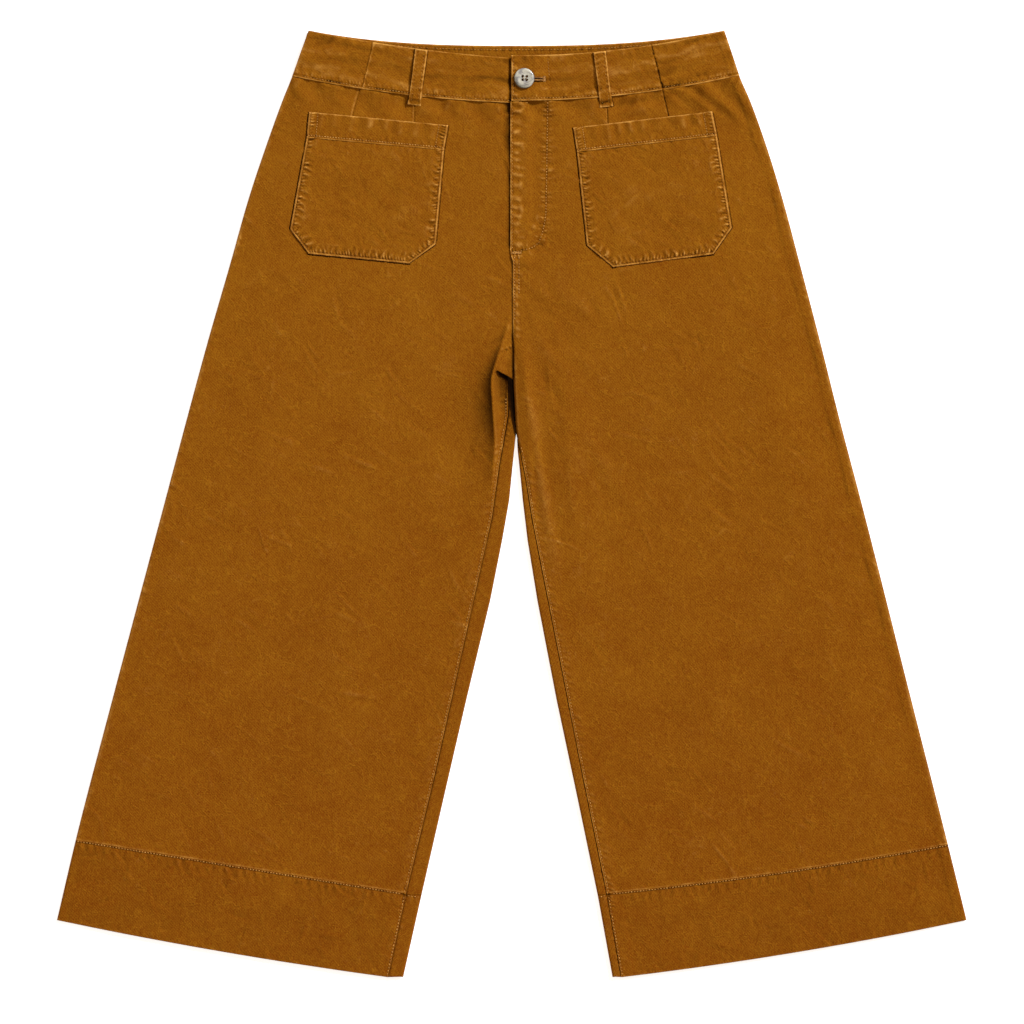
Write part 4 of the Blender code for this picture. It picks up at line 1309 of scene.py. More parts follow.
def make_back(side, cotton):
    """A back, rolled over at its inner leg below the crotch and cut along the centre above it."""
    centre_y = back_band_y(1, BACK_EDGE[side]["x"][0]) - 0.1
    seam_y = ACROSS[side]["inner"][HEM_SEAM] + 0.05
    inner_y = stations((centre_y, 2.2), (130, 1.3), (40, 2), (seam_y, 0))
    v = ((inner_y - centre_y) / (seam_y - centre_y))[:, None]
    outer_y = mix(BACK_BAND["side"][1], ACROSS[side]["side"][HEM_SEAM] + 0.05, v)
    outer = np.concatenate([side_x(side, outer_y), outer_y], axis=1)

    def strip_top(x, y):
        sunk, middle, reach = STRIP_SUNK[side]
        return front_rest(x, y) - sunk * bell((y - middle) / reach)

    flat_steps = np.linspace(0, 1, 26)[1:]
    points, flat = roll_over(side, outer, inner_y, strip_top, flat_steps, ROLL_START[side])
    rolled = ease((ROLL_START[side] + 3 - inner_y) / 3)[:, None, None]
    edge = np.stack([read(BACK_EDGE[side], "x", inner_y), inner_y], axis=1)[:, None]
    first = len(BACK_STEPS) - 1
    cut = mix(points[:, first:first + 1, :2], edge, np.concatenate([[0], flat_steps])[:, None])
    points[:, first:flat, :2] = mix(cut, points[:, first:flat, :2], rolled)
    number = np.arange(points.shape[1] - flat) + 1
    tucked = np.repeat(points[:, flat - 1:flat], len(number), axis=1)
    tucked[..., 0] += SIGN[side] * 0.25 * number
    tucked[..., 2] = SHELL * 1.25 * ease(number / 3)
    points[:, flat:] = mix(tucked, points[:, flat:], rolled)

    x, y, z = np.moveaxis(points, -1, 0)
    u = np.clip((x[:1] - outer[0, 0]) / (edge[0, 0, 0] - outer[0, 0]), 0, 1)
    past_band = mix(outer_y[0], inner_y[0], u) - (back_band_y(1, x[:1]) - 0.1)
    y = y - past_band * (1 - v) ** 2
    finish = strip_finish(side, x, y, flat)
    rests = np.zeros_like(z)
    rests[:, first:flat] = np.sin(math.pi * np.linspace(0, 1, flat - first)) ** 0.5
    z = np.maximum(z + finish[0] + rests * hidden_creases(x, y, SEEDS["back"][side]), 0)
    # Painted shade on the back under the crotch, and painted shadow, near black, in the gap between the
    # legs
    started = ease((124 - y) / 8)
    in_gap = np.clip((x - read(GAP_LINE, "x", y)) / 3.4 + 0.3, 0, 1) * (x < 8)
    dim = started * np.clip((y - 40) / 60, 0, 1) * (np.abs(x) < 14)
    wear_and_painted_light = mix(finish[1] - 0.8 * dim, -3.4, in_gap * started * ease((y - 57) / 6))
    sew("back_" + side, lift(x, y, z), wear_and_painted_light, SHELL, cotton, flip=side == "right")


# Hems

def hem_finish(side, x, y):
    """Relief of a hem: groove at its seam, close puckers below, rubbed lower edge, and the whole hem a
    little darker as painted light falloff.
    """
    seed = SEEDS["hem"][side]
    below = hem_line(side, HEM_SEAM, x) - y
    above = y - hem_line(side, HEM_EDGE, x)
    inner = (x - read(INSEAM[side], "x", y)) * SIGN[side]
    d = from_side(x, y)
    width = ALLOWANCE + 0.7 * wander(y / 31, seed + 4)
    box = tuple(sorted((float(side_x(side, -300)), 60 * SIGN[side]))) + (-416, -298)
    return sum([
        # Darker all over as painted light falloff, and a dark groove at the seam
        relief(-0.3 * bell(below), -0.13 - 0.6 * bell((below - 0.2) / 0.7)),
        puckers("hem seam", below, x, seed),
        puckers("hem seam, long", below, x, seed + 11),
        turned_edge("hem", above, x, seed + 2),
        puckers("hem edge", above, x, seed + 3),
        relief(0.3 * (1 - ease((d - width) / 2.4)), -0.1 * bell((d - width - 1.5) / 1.6)),
        tone(0.4 * bell((inner - 0.3) / 0.5)),
        sewn_line("hem inseam", inner, y, seed + 6),
        puckers("hem inseam", inner, y, seed + 5),
        relief(0.3, 0.1, 1 - ease((inner - 11) / 2.5)),
        ripples(x, y, seed + 8, 0.15),
        wash_creases(x, y, seed + 9, 100, box, height=0.24),
    ])


def make_front_hem(side, cotton):
    """The front of a hem, on the same side and inner steps as the front above it."""
    top, bottom = (ACROSS[side]["inner"][line] for line in (HEM_SEAM, HEM_EDGE))
    inner_y = stations((top - 0.05, 0.7), (top - 12, 1.7), (bottom + 3, 0.5), (bottom, 0))
    outer_y, sag = front_rows(side, HEM_SEAM, HEM_EDGE, inner_y)
    outer_x = side_x(side, outer_y)
    inner_x = read(INSEAM[side], "x", inner_y)[:, None]
    near = outer_x - SIGN[side] * SIDE_STEPS[:-3]
    far = (inner_x + SIGN[side] * INNER_STEPS["left"][:14])[:, ::-1]
    middle = mix(near[:, -1:], far[:, :1], np.linspace(0, 1, 216)[None, 1:-1])
    x = np.concatenate([near, middle, far], axis=1)
    u = (x - outer_x) / (inner_x - outer_x)
    y = mix(outer_y, inner_y[:, None], u) - 4 * sag * u * (1 - u)
    finish = hem_finish(side, x, y)
    z = side_turn(x, y, front_rest(x, y) + HEM_WALL - WALL + finish[0])
    sew("hem_front_" + side, lift(x, y, z), finish[1], SHELL * 1.5, cotton, flip=side == "left")


def make_back_hem(side, cotton):
    """The back of a hem, rolled over at the inner leg like the back above it."""
    top, bottom = (ACROSS[side]["inner"][line] for line in (HEM_SEAM, HEM_EDGE))
    inner_y = stations((top - 0.05, 1.2), (bottom, 0))
    outer_y = front_rows(side, HEM_SEAM, HEM_EDGE, inner_y)[0]
    outer = np.concatenate([side_x(side, outer_y), outer_y], axis=1)

    def strip_top(x, y):
        return front_rest(x, y) + HEM_WALL - WALL

    points, flat = roll_over(side, outer, inner_y, strip_top, np.linspace(0, 1, 60)[1:])
    x, y, z = np.moveaxis(points, -1, 0)
    below = (inner_y[0] - inner_y)[:, None] * np.ones_like(x)
    seam = groove(below - 0.3, 0.3, 0.8, 0.6) + puckers("back hem seam", below, x, SEEDS["back hem"])
    seam[:, :, :flat] = 0
    finish = strip_finish(side, x, y, flat) + seam
    z = np.maximum(z + finish[0], 0)
    sew("hem_back_" + side, lift(x, y, z), finish[1], SHELL * 1.2, cotton, flip=side == "right")


# Waistband

def band_grid(side, outer_x, inner_x, columns, rows=50, underlap=()):
    """x, y of a waistband piece between two joins given at its top and seam, and its t down it."""
    edge = np.array([0, 0.006, 0.014, 0.026, 0.042])
    t = np.concatenate([edge, np.linspace(0.06, 0.94, rows), 1 - edge[::-1]])[:, None]
    ends = np.array([0, 0.25, 0.6, 1.1, 1.8, 2.8])
    start, end = mix(outer_x[0], outer_x[1], t), mix(inner_x[0], inner_x[1], t)
    way = np.sign(end[0, 0] - start[0, 0])
    near, far = start + way * ends, (end - way * ends)[:, ::-1]
    middle = mix(near[:, -1:], far[:, :1], np.linspace(0, 1, columns + 2)[None, 1:-1])
    x = np.concatenate([near, middle, far], axis=1)
    if len(underlap):
        x = np.concatenate([x, np.ones_like(t) * np.array(underlap)], axis=1)
    y = mix(across(side, BAND_TOP, x), across(side, WAIST, x), t)
    return x, y, t


def band_join(x, y, edge_x, seed, crested):
    """A seam between two pieces of the waistband: rounded down, dark and broken, crested on one side."""
    d = np.abs(x - edge_x + 0.35 * wander(y / 1.5, seed + 21))
    broken = 0.94 + 0.22 * wander(y, seed + 22)
    # Darker and less pale on the left side: painted light and shade
    dark, pale = UPRIGHT["right" if edge_x[0, 0] < 0 else "left"]["band join"]
    return sum([
        relief(-0.45 * (1 - quarter_round(d, 0.9)), -dark * broken * bell(d / 0.7)),
        tone(crested * pale * broken * bell((d - 1.2) / 0.6)),
        puckers("band join", d, y, seed + 11),
    ])


def tab_end(x, y, seed):
    """The tab's free edge, and the slit of the buttonhole with painted shade in it and a painted shadow
    line below it.
    """
    d = np.abs(x - TAB_EDGE)
    slit = ease(x - 18.5) * ease(27.6 - x)
    half = mix(0.9, 0.45, np.clip((x - 19) / 8, 0, 1))
    return sum([
        turned_edge("tab", d, y, seed + 6),
        sewn_line("tab", d, y, seed + 12),
        puckers("tab", d, y, seed + 7),
        relief(-0.5, -1.5, slit * bell((y - 373.4) / half)),
        relief(-0.3, -0.9, slit * bell((y - 371.3) / 0.6)),
    ])


def band_finish(x, y, t, seed, join=None, crested=False, tab=False):
    """Relief of a waistband piece: rubbed edges, seam stitching, puckers above it, its join or tab."""
    up, down = (1 - t) * BAND_TALL + 0 * x, t * BAND_TALL + 0 * x
    level = up + 1.6 * np.sin(x / 17) + 0.9 * np.sin(x / 7.3 + 1)
    box = (float(np.min(x)) - 1, float(np.max(x)) + 1, 350, 416)
    parts = [
        turned_edge("band top", down, x, seed),
        turned_edge("band seam", up, x, seed + 1),
        sewn_line("band seam", up, x, seed + 9),
        puckers("band seam", up, x, seed + 2),
        puckers("band seam, long", up, x, seed + 10),
        puckers("band top", down, x, seed + 4),
        ripples(x, y, seed + 8, 0.27),
        ripples(0.22 * x, 1.3 * level, seed + 15, 0.5),
        mottle(0.35 * x, 1.6 * level, seed + 18, 0.26),
        mottle(1.5 * x, 1.8 * y, seed + 19, 0.09),
        wash_creases(x, y, seed + 13, int((box[1] - box[0]) * 0.45), box, (8, 30), 0.14),
    ]
    if join is not None:
        parts.append(band_join(x, y, join, seed, crested))
    if tab:
        parts.append(tab_end(x, y, seed))
    return sum(parts)


def tab_marks(x, y):
    """What shows on the tab: its cross stitching, the bar tack's ring, and the cloth round the slit, with
    painted shade in the slit.
    """
    off, within = line_off(x, y, (31.6, 392, 34.8, 356))
    ring = np.hypot(x - 29.5, y - 369)
    to_button = np.hypot(x - BUTTON_CENTRE[0], y - BUTTON_CENTRE[1])
    slit = bell((y - 373.6) / 0.9) * ease((x - 17.5) / 2) * ease((28 - x) / 1.5)
    around = bell((y - 373.6) / 2.6) * ease((x - 17.5) / 2) * ease((32 - x) / 2)
    return sum([
        groove(off, 0.22, 0.8, 0.25) * within,
        relief(0.16, 0.25, bell((ring - 4.2) / 0.9) * (y < 371.5)),
        relief(-0.25, 0, bell(to_button / 13)),
        relief(-0.5, -1.5, slit),
        relief(0.45, -0.25, around),
    ])


def band_piece(kind, side, x, y, finish, cotton, lifted=0):
    """A waistband piece, turned down at the side seam to meet the back waistband."""
    top = band_top(x, y) + lifted + finish[0]
    z = BAND_WALL + (top - BAND_WALL) * quarter_round(from_side(x, y) + 0.15, SIDE_ROUND)
    sew("waistband_" + kind + "_" + side, lift(x, y, z), finish[1], BAND_WALL * 0.8, cotton,
        flip=side == "left", turn=True, node="waistband_front_" + kind + "_" + side)


def make_waistband(cotton):
    """Two pieces on either side, joined between pocket and side seam; the left one ends in the tab."""
    for side in SIGN:
        outer_x = [side_x(side, ACROSS[side]["side"][line]) for line in (BAND_TOP, WAIST)]
        x, y, t = band_grid(side, outer_x, BAND_JOIN[side], 78)
        finish = band_finish(x, y, t, SEEDS["band side"][side], join=mix(*BAND_JOIN[side], t))
        d = from_side(x, y)
        finish = finish + relief(0.4 * (1 - ease((d - ALLOWANCE) / 2.4)), 0.3 * bell((d - 1.4) / 1.4))
        band_piece("side", side, x, y, finish, cotton)

    for side, end, underlap in (("right", 0.2, (3, 8, 14)), ("left", TAB_EDGE, ())):
        x, y, t = band_grid(side, BAND_JOIN[side], (end, end), 160, underlap=underlap)
        finish = band_finish(x, y, t, SEEDS["band middle"][side], mix(*BAND_JOIN[side], t), crested=True,
                             tab=side == "left")
        if side == "right":
            # Painted shadow of the tab's edge on the band beneath it, darker towards the seam
            finish = finish - tone(mix(0.7, 1.4, t), bell((x - TAB_EDGE + 1.3) / 1.05))
            band_piece("mid", side, x, y, finish, cotton)
        else:
            band_piece("mid", side, x, y, finish + tab_marks(x, y), cotton, tab_lift(x))


def make_back_band(cotton):
    """The back waistband, flat on the surface, with its dipping top edge and its row of stitches."""
    seed = SEEDS["back band"]
    edge = np.array([0, 0.008, 0.02, 0.04, 0.07])
    t = np.concatenate([edge, np.linspace(0.1, 0.93, 24), 1 - edge[::-1]])[:, None]
    right, left = (mix(side_x(side, BACK_BAND["side"][0]), side_x(side, BACK_BAND["side"][1]), t)
                   for side in SIGN)
    x = mix(left, right, np.linspace(0, 1, 300)[None, :])
    y = mix(back_band_y(0, x), back_band_y(1, x), t)
    down = t * BACK_BAND_TALL + 0 * x
    finish = sum([
        turned_edge("back band", down, x, seed),
        groove(down - BACK_BAND_SEWN, 0.22, 0.7, 0.32),
        puckers("back band", down, x, seed + 1),
        ripples(x, y, seed + 5, 0.12),
    ])
    sew("waistband_back", lift(x, y, BAND_WALL - 0.1 + finish[0]), finish[1] - 0.12, BAND_WALL * 0.85,
        cotton, flip=True, turn=True)


# Patch pockets

def pocket_line(side, *corners):
    """Places of corners of a pocket, each named by its end and its row in the pocket's table."""
    return [(POCKETS[side][end + "_x"][row], POCKETS[side][end + "_y"][row]) for end, row in corners]


def pocket_grid(side, lower_part):
    """x, y over a pocket: across between its sides, and down from stop to stop of its outline."""
    o = POCKETS[side]
    near = np.array([-1.3, -0.7, -0.15, 0, 0.25, 0.5, 0.8, 1.2, 1.8, 2.6]) / 122
    u = np.concatenate([near, np.linspace(near[-1], 1 - near[-1], 170)[1:-1], 1 - near[::-1]])[None, :]
    if lower_part:
        low = np.array([0, 0.012, 0.024, 0.04, 0.06, 0.09])
        stops = np.concatenate([1 + np.array([0, 0.003, 0.007, 0.012]), np.linspace(1.02, 1.98, 104),
                                np.linspace(2, 2.88, 24), 3 - low[::-1]])
        past = np.array([0.12, 0.7, 1.3])
    else:
        low = np.array([0, 0.012, 0.028, 0.05, 0.08])
        stops = np.concatenate([low, np.linspace(0.11, 0.89, 26), 1 - low[::-1]])
        past = np.zeros(0)
    ends = {name: np.interp(stops, range(4), o[name])[:, None] for name in o}
    x, y = mix(ends["outer_x"], ends["inner_x"], u), mix(ends["outer_y"], ends["inner_y"], u)
    return np.concatenate([x, x[-1:] + 0 * past[:, None]]), np.concatenate([y, y[-1:] - past[:, None]])


def inside_pocket(side, x, y):
    """How far inside the outline of a pocket and its band, below 0 outside it."""
    o = POCKETS[side]
    outer = np.interp(y, o["outer_y"][::-1], o["outer_x"][::-1])
    inner = np.interp(y, o["inner_y"][::-1], o["inner_x"][::-1])
    inside = np.minimum((x - outer) * -SIGN[side], (inner - x) * -SIGN[side])
    for row, way, margin in ((0, -1, 0.6), (3, 1, 0)):
        slope = (o["inner_y"][row] - o["outer_y"][row]) / (o["inner_x"][row] - o["outer_x"][row])
        beyond = way * (y - o["outer_y"][row] - slope * (x - o["outer_x"][row]))
        inside = np.minimum(inside, beyond + margin)
    return inside


def knots(x, y, corners, inward):
    """Small lumps of folded cloth just inside the corners of an outline."""
    middle = np.mean(corners, axis=0)
    total = 0
    for cx, cy in corners:
        away = math.hypot(middle[0] - cx, middle[1] - cy)
        kx, ky = cx + (middle[0] - cx) * inward / away, cy + (middle[1] - cy) * inward / away
        total = total + bell(np.hypot(x - kx, y - ky) / 1.9)
    return total


def pocket_creases(side, x, y, seed, count):
    """Creases of washing over a whole pocket."""
    xs = np.concatenate([POCKETS[side]["outer_x"], POCKETS[side]["inner_x"]])
    return wash_creases(x, y, seed, count, (xs.min(), xs.max(), 205, 345))


def pocket_finish(side, x, y):
    """Relief of a pocket below its band: turned and rubbed edge, stitching, and puckers inside it."""
    seed = SEEDS["pocket"][side]
    corners = pocket_line(side, *POCKET_OUTLINE)
    d, s = to_segments(x, y, corners)
    down, along = to_segments(x, y, pocket_line(side, *POCKET_FOLD))
    return sum([
        turned_edge("pocket", d, s, seed),
        sewn_line("pocket", d, s, seed + 6),
        relief(0.28, 0.14, bell((d - 9.2) / 1.5) * (0.6 + 0.6 * wander(s / 9, seed + 21))),
        puckers("pocket", d, s, seed + 1),
        puckers("pocket, long", d, s, seed + 22),
        relief(0.3, 0.35, knots(x, y, corners[1:-1], 5)),
        relief(-0.3 * bell(down), -0.55 * bell(down / 0.8)),
        puckers("pocket fold", down, along, seed + 3),
        mottle(x, y, seed + 23, 0.08),
        ripples(x, y, seed + 5, 0.27),
        pocket_creases(side, x, y, seed + 8, 110),
    ])


def pocket_band_finish(side, x, y):
    """Relief of the band along a pocket's opening: rubbed opening, sewn lower edge and ends."""
    seed = SEEDS["pocket"][side]
    d, s = to_segments(x, y, pocket_line(side, *POCKET_OPENING))
    up, along = to_segments(x, y, pocket_line(side, *POCKET_FOLD))
    parts = [
        turned_edge("pocket opening", d, s, seed + 10),
        puckers("pocket opening", d, s, seed + 11),
        turned_edge("pocket band seam", up, along, seed + 12),
        sewn_line("pocket band seam", up, along, seed + 9),
        puckers("pocket band seam", up, along, seed + 13),
        mottle(x, y, seed + 24, 0.07),
        ripples(x, y, seed + 17, 0.2),
        pocket_creases(side, x, y, seed + 19, 60),
    ]
    for end in ("outer", "inner"):
        d, s = to_segments(x, y, pocket_line(side, (end, 0), (end, 1)))
        parts += [
            turned_edge("pocket band", d, s, seed + 14),
            sewn_line("pocket band", d, s, seed + 16),
            puckers("pocket band", d, s, seed + 15),
        ]
    return sum(parts)


def pocket_top(side, lower_part, x, y):
    """Height, wear and painted light of a pocket: a wall and gap over the front's, with its relief, and
    down on the front outside its outline, where a painted shadow runs, darkest below and towards the
    right."""
    finish = pocket_finish(side, x, y) if lower_part else pocket_band_finish(side, x, y)
    kept = ease((inside_pocket(side, x, y) + 0.5) / 0.4)
    (outer_x, _), (inner_x, _) = pocket_line(side, *POCKET_FOLD)
    shaded = (x < 0.5 * (outer_x + inner_x)) | (y < 232)
    under = front_top(x, y) + front_ripple(side, x, y)[0]
    height = mix(under + 0.12, under + GAP + WALL + finish[0], kept)
    # Painted shadow outside the outline
    return height, mix(np.where(shaded, -1.5, -0.75), finish[1], kept)


def make_pockets(side, cotton):
    for lower_part, name in ((True, "pocket_"), (False, "pocket_band_")):
        x, y = pocket_grid(side, lower_part)
        z, wear_and_painted_light = pocket_top(side, lower_part, x, y)
        sew(name + side, lift(x, y, z), wear_and_painted_light, WALL * 0.85, cotton, flip=side == "left")


# Belt loops

def loop_frame(side):
    x0, y0, x1, y1 = LOOPS[side]
    length = math.hypot(x1 - x0, y1 - y0)
    return x0, y0, x1, y1, ((y0 - y1) / length, (x1 - x0) / length), length


def loop_top(side, x, y, v, w):
    """Height, wear and painted light of a belt loop at v down it and w off its centre line, with a painted
    shadow round it, darkest on one side and under its foot.
    """
    seed = SEEDS["loop"][side]
    length = loop_frame(side)[5]
    down, up = v * length, (1 - v) * length
    above_waist = y - across(side, WAIST, x)
    under = front_top(x, y) + 0.8 * ease((above_waist + 9) / 9)
    base = mix(under, band_top(x, y), ease((above_waist + LOOP_STEP) / (LOOP_STEP - 1)))
    top = base + GAP + LOOP_WALL + LOOP_BULGE * np.sin(math.pi * v) ** 2
    edge = LOOP_WIDTH / 2 - np.abs(w)
    kept = ease((edge + 0.35) / 0.3)
    finish = sum([
        turned_edge("loop", edge, down + 20 * np.sign(w), seed),
        sewn_line("loop", edge, down, seed + 5),
        tone(0.09 + 0.2 * wander(v * 30 + 0.2 * w, seed + 1)),
        puckers("loop", edge, down, seed + 2),
        turned_edge("loop top", down, w, seed + 3),
        turned_edge("loop foot", up, w, seed + 4),
        groove(up - 4.6, 0.45, 1.2, 0.75),
        groove(down - 4.2, 0.25, 0.8, 0.45),
        ripples(2 * x, 2 * y, seed + 6, 0.22),
        mottle(2 * x, 2 * y, seed + 8, 0.12),
    ])
    # Painted shadow round the loop, darkest on one side and under its foot
    shade = np.where((w < 0) | (v > 0.97), -1.5, -0.8)
    return mix(base + 0.1, top + finish[0], kept), mix(shade, finish[1], kept)


def make_belt_loop(side, cotton):
    x0, y0, x1, y1, normal, _ = loop_frame(side)
    tip = np.array([0, 0.006, 0.014, 0.026])
    v = np.concatenate([tip, np.linspace(0.045, 0.955, 50), 1 - tip[::-1]])[:, None]
    half = np.array([1.14, 1.07, 1.02, 1, 0.95, 0.88, 0.79, 0.69, 0.6, 0.52, 0.44, 0.34, 0.2])
    w = np.concatenate([-half, [0], half[::-1]])[None, :] * LOOP_WIDTH / 2
    foot = 1 + 0.1 * ease((v - 0.9) / 0.04) + 0.02 * np.sin(9 * v)
    x = mix(x0, x1, v) + normal[0] * w * foot
    y = mix(y0, y1, v) + normal[1] * w * foot
    z, wear_and_painted_light = loop_top(side, x, y, v, w)
    sew("belt_loop_" + side, lift(x, y, z), wear_and_painted_light, LOOP_WALL * 0.85, cotton)


# Stitches

def along_path(corners, pitch):
    """Middles and directions of stitches spaced evenly along a line of corners."""
    corners = np.array(corners, dtype=float)
    steps = np.linalg.norm(np.diff(corners, axis=0), axis=1)
    run = np.concatenate([[0], np.cumsum(steps)])
    count = max(1, int(run[-1] / pitch))
    at = (np.arange(count) + 0.5) * run[-1] / count

    def place(s):
        return np.stack([np.interp(s, run, corners[:, 0]), np.interp(s, run, corners[:, 1])], axis=-1)

    way = place(np.minimum(at + 0.3, run[-1])) - place(np.maximum(at - 0.3, 0))
    return place(at), way / np.linalg.norm(way, axis=-1, keepdims=True)


def stitch_points(middles, ways, surface, length, thickness, seed):
    """Points of a row of stitches.

    A stitch is a tube round a line of the given length: its radius is thickness / 2 times
    sqrt(1 - t^4) for t from -1 to 1 along it, and it dips into the cloth with t^2 at both ends.
    """
    rng = np.random.default_rng(seed)
    count = len(middles)
    turn = rng.normal(0, 0.07, count)
    ways = np.stack([ways[:, 0] * np.cos(turn) - ways[:, 1] * np.sin(turn),
                     ways[:, 0] * np.sin(turn) + ways[:, 1] * np.cos(turn)], axis=-1)
    size = length * rng.uniform(0.88, 1.06, count)[:, None]
    t = np.array([-1, -0.86, -0.45, 0, 0.45, 0.86, 1])[None, :]
    radius = thickness / 2 * np.sqrt(1 - t ** 4)
    line = middles[:, None, :] + ways[:, None, :] * (size * t / 2)[..., None]
    z = surface(line[..., 0], line[..., 1]) + thickness * (0.42 - 0.75 * t ** 2)
    angle = np.arange(6) * math.pi / 3
    aside = np.stack([-ways[:, 1], ways[:, 0]], axis=-1)[:, None, None, :]
    ring = line[:, 1:-1, None, :] + aside * (radius[:, 1:-1, None] * np.cos(angle))[..., None]
    ring_z = z[:, 1:-1, None] + radius[:, 1:-1, None] * np.sin(angle)
    rings = np.concatenate([ring, ring_z[..., None]], axis=-1).reshape(count, 30, 3)
    tips = np.concatenate([line[:, [0, -1]], z[:, [0, -1], None]], axis=-1)
    return np.concatenate([rings, tips], axis=1)


def stitch_faces(count):
    """Faces of so many stitches: four bands of six quads, and six triangles at either tip."""
    k = np.arange(6)
    after = (k + 1) % 6
    ring = np.stack([k, after, 6 + after, 6 + k], axis=-1)
    quads = np.concatenate([ring + 6 * band for band in range(4)])
    tips = np.concatenate([np.stack([np.full(6, 30), after, k], axis=-1),
                           np.stack([np.full(6, 31), 24 + k, 24 + after], axis=-1)])
    base = np.arange(count)[:, None, None] * 32
    return (quads[None] + base).reshape(-1, 4).tolist() + (tips[None] + base).reshape(-1, 3).tolist()


def stitching(name, runs, finish):
    """One piece from runs of stitches, each of a kind, along a line of corners, on a surface."""
    points = []
    for seed, (kind, corners, surface) in enumerate(runs):
        pitch, length, thickness = STITCHES[kind]
        middles, ways = along_path(corners, pitch)
        points.append(stitch_points(middles, ways, surface, length, thickness, seed))
    points = np.concatenate(points)
    dress(make_mesh(name, points.reshape(-1, 3), stitch_faces(len(points)), finish, sharp=180), "thread")


def inset(corners, distance):
    """A line of corners moved sideways, to the left of its way."""
    p = np.array(corners, dtype=float)
    way = np.diff(p, axis=0)
    way = way / np.linalg.norm(way, axis=1, keepdims=True)
    left = np.stack([-way[:, 1], way[:, 0]], axis=-1)
    first, last = p[0] + left[0] * distance, p[-1] + left[-1] * distance
    bisector = left[:-1] + left[1:]
    bisector = bisector / np.sum(bisector * left[:-1], axis=1, keepdims=True)
    return [tuple(first)] + [tuple(q) for q in p[1:-1] + bisector * distance] + [tuple(last)]


def front_surface(side):
    """Upper surface of a front with its relief, as a function of place, for what is sewn on it."""
    def height(x, y):
        if side == "right":
            return right_front_height(x, y) + front_finish(side, x, y)[0]
        return front_rest(x, y) + fly_lap(x, y) + front_finish(side, x, y)[0] + fly_finish(x, y)[0]
    return height


def pocket_stitches(side, thread, dark_thread):
    """Fine stitches round a pocket and its band's ends, bold ones along the band's seam and ends."""
    inward = -SIGN[side]

    def on_pocket(x, y):
        return pocket_top(side, True, x, y)[0]

    def on_band(x, y):
        return pocket_top(side, False, x, y)[0]

    outline = pocket_line(side, *POCKET_OUTLINE)
    fold = pocket_line(side, *POCKET_FOLD)
    fine = [("pocket", inset(outline, SEWN["pocket"][0] * inward), on_pocket)]
    bold = [("pocket band seam", inset(fold, SEWN["pocket band seam"][0] * inward), on_band)]
    for end, way in (("outer", inward), ("inner", -inward)):
        edge = pocket_line(side, (end, 0), (end, 1))
        fine.append(("pocket", inset(edge, SEWN["pocket"][0] * way), on_band))
        bold.append(("pocket band", inset(edge, SEWN["pocket band"][0] * way), on_band))
    stitching("pocket_stitches_" + side, bold, thread)
    stitching("pocket_edge_stitches_" + side, fine, dark_thread)


def leg_stitches(side, thread):
    """Stitches beside the inseam, along the hem's seam, and across the rolled strip of the back."""
    sign = SIGN[side]
    surface = front_surface(side)
    seam_y, edge_y = (ACROSS[side]["inner"][line] for line in (HEM_SEAM, HEM_EDGE))

    def down_inseam(kind, start, end, count):
        ys = np.linspace(start, end, count)
        return list(zip(read(INSEAM[side], "x", ys) + sign * SEWN[kind][0], ys))

    def on_hem(x, y):
        return front_rest(x, y) + HEM_WALL - WALL + hem_finish(side, x, y)[0]

    def on_strip(x, y):
        return front_rest(x, y) + 0.45

    outer_x, inner_x = side_x(side, ACROSS[side]["side"][HEM_SEAM]), read(INSEAM[side], "x", seam_y)
    x = mix(outer_x, inner_x, np.linspace(0.004, 0.985, 80))
    y = seam_y - 1.2
    strip = [(read(INSEAM[side], "x", y) - sign * 1.6, y + 0.4),
             (read(FOLD_EDGE[side], "x", y) + sign * 1.6, y - 1)]
    stitching("leg_stitches_" + side, [
        ("inseam", down_inseam("inseam", seam_y + 2, INSEAM_SEWN_TO[side], 60), surface),
        ("above hem", list(zip(x, hem_line(side, HEM_SEAM, x) + 0.15)), surface),
        ("hem inseam", down_inseam("hem inseam", seam_y - 1.5, edge_y + 1.5, 30), on_hem),
        ("roll", strip, on_strip),
    ], thread)


def band_stitches(thread):
    """Stitches along the waistband's seam, round the tab, and along the back band's top edge."""
    def on_band(side, seed, lifted=np.zeros_like, tab=False):
        def height(x, y):
            top, seam = across(side, BAND_TOP, x), across(side, WAIST, x)
            finish = band_finish(x, y, (top - y) / (top - seam), seed, tab=tab)
            return band_top(x, y) + lifted(x) + finish[0]
        return height

    def on_back_band(x, y):
        return np.full(np.shape(x), BAND_WALL - 0.15)

    runs = []
    stretches = (("right", "band side", -191, -133.5), ("right", "band middle", -131.5, -2),
                 ("left", "band middle", 1, 131.5), ("left", "band side", 134, 198))
    for side, kind, start, end in stretches:
        x = np.linspace(start, end, 40)
        lifted = tab_lift if (side, kind) == ("left", "band middle") else np.zeros_like
        line = list(zip(x, across(side, WAIST, x) + SEWN["band seam"][0]))
        runs.append(("band seam", line, on_band(side, SEEDS[kind][side], lifted)))
    on_tab = on_band("left", SEEDS["band middle"]["left"], tab_lift, tab=True)
    runs.append(("tab", [(TAB_EDGE + 1.9, y) for y in np.linspace(391, 358, 10)], on_tab))
    runs.append(("tab, cross", [(31.6, 392), (33, 376)], on_tab))
    x = np.linspace(-165, 170, 90)
    runs.append(("back band", list(zip(x, back_band_y(0, x) - BACK_BAND_SEWN)), on_back_band))
    stitching("waistband_stitches", runs, thread)


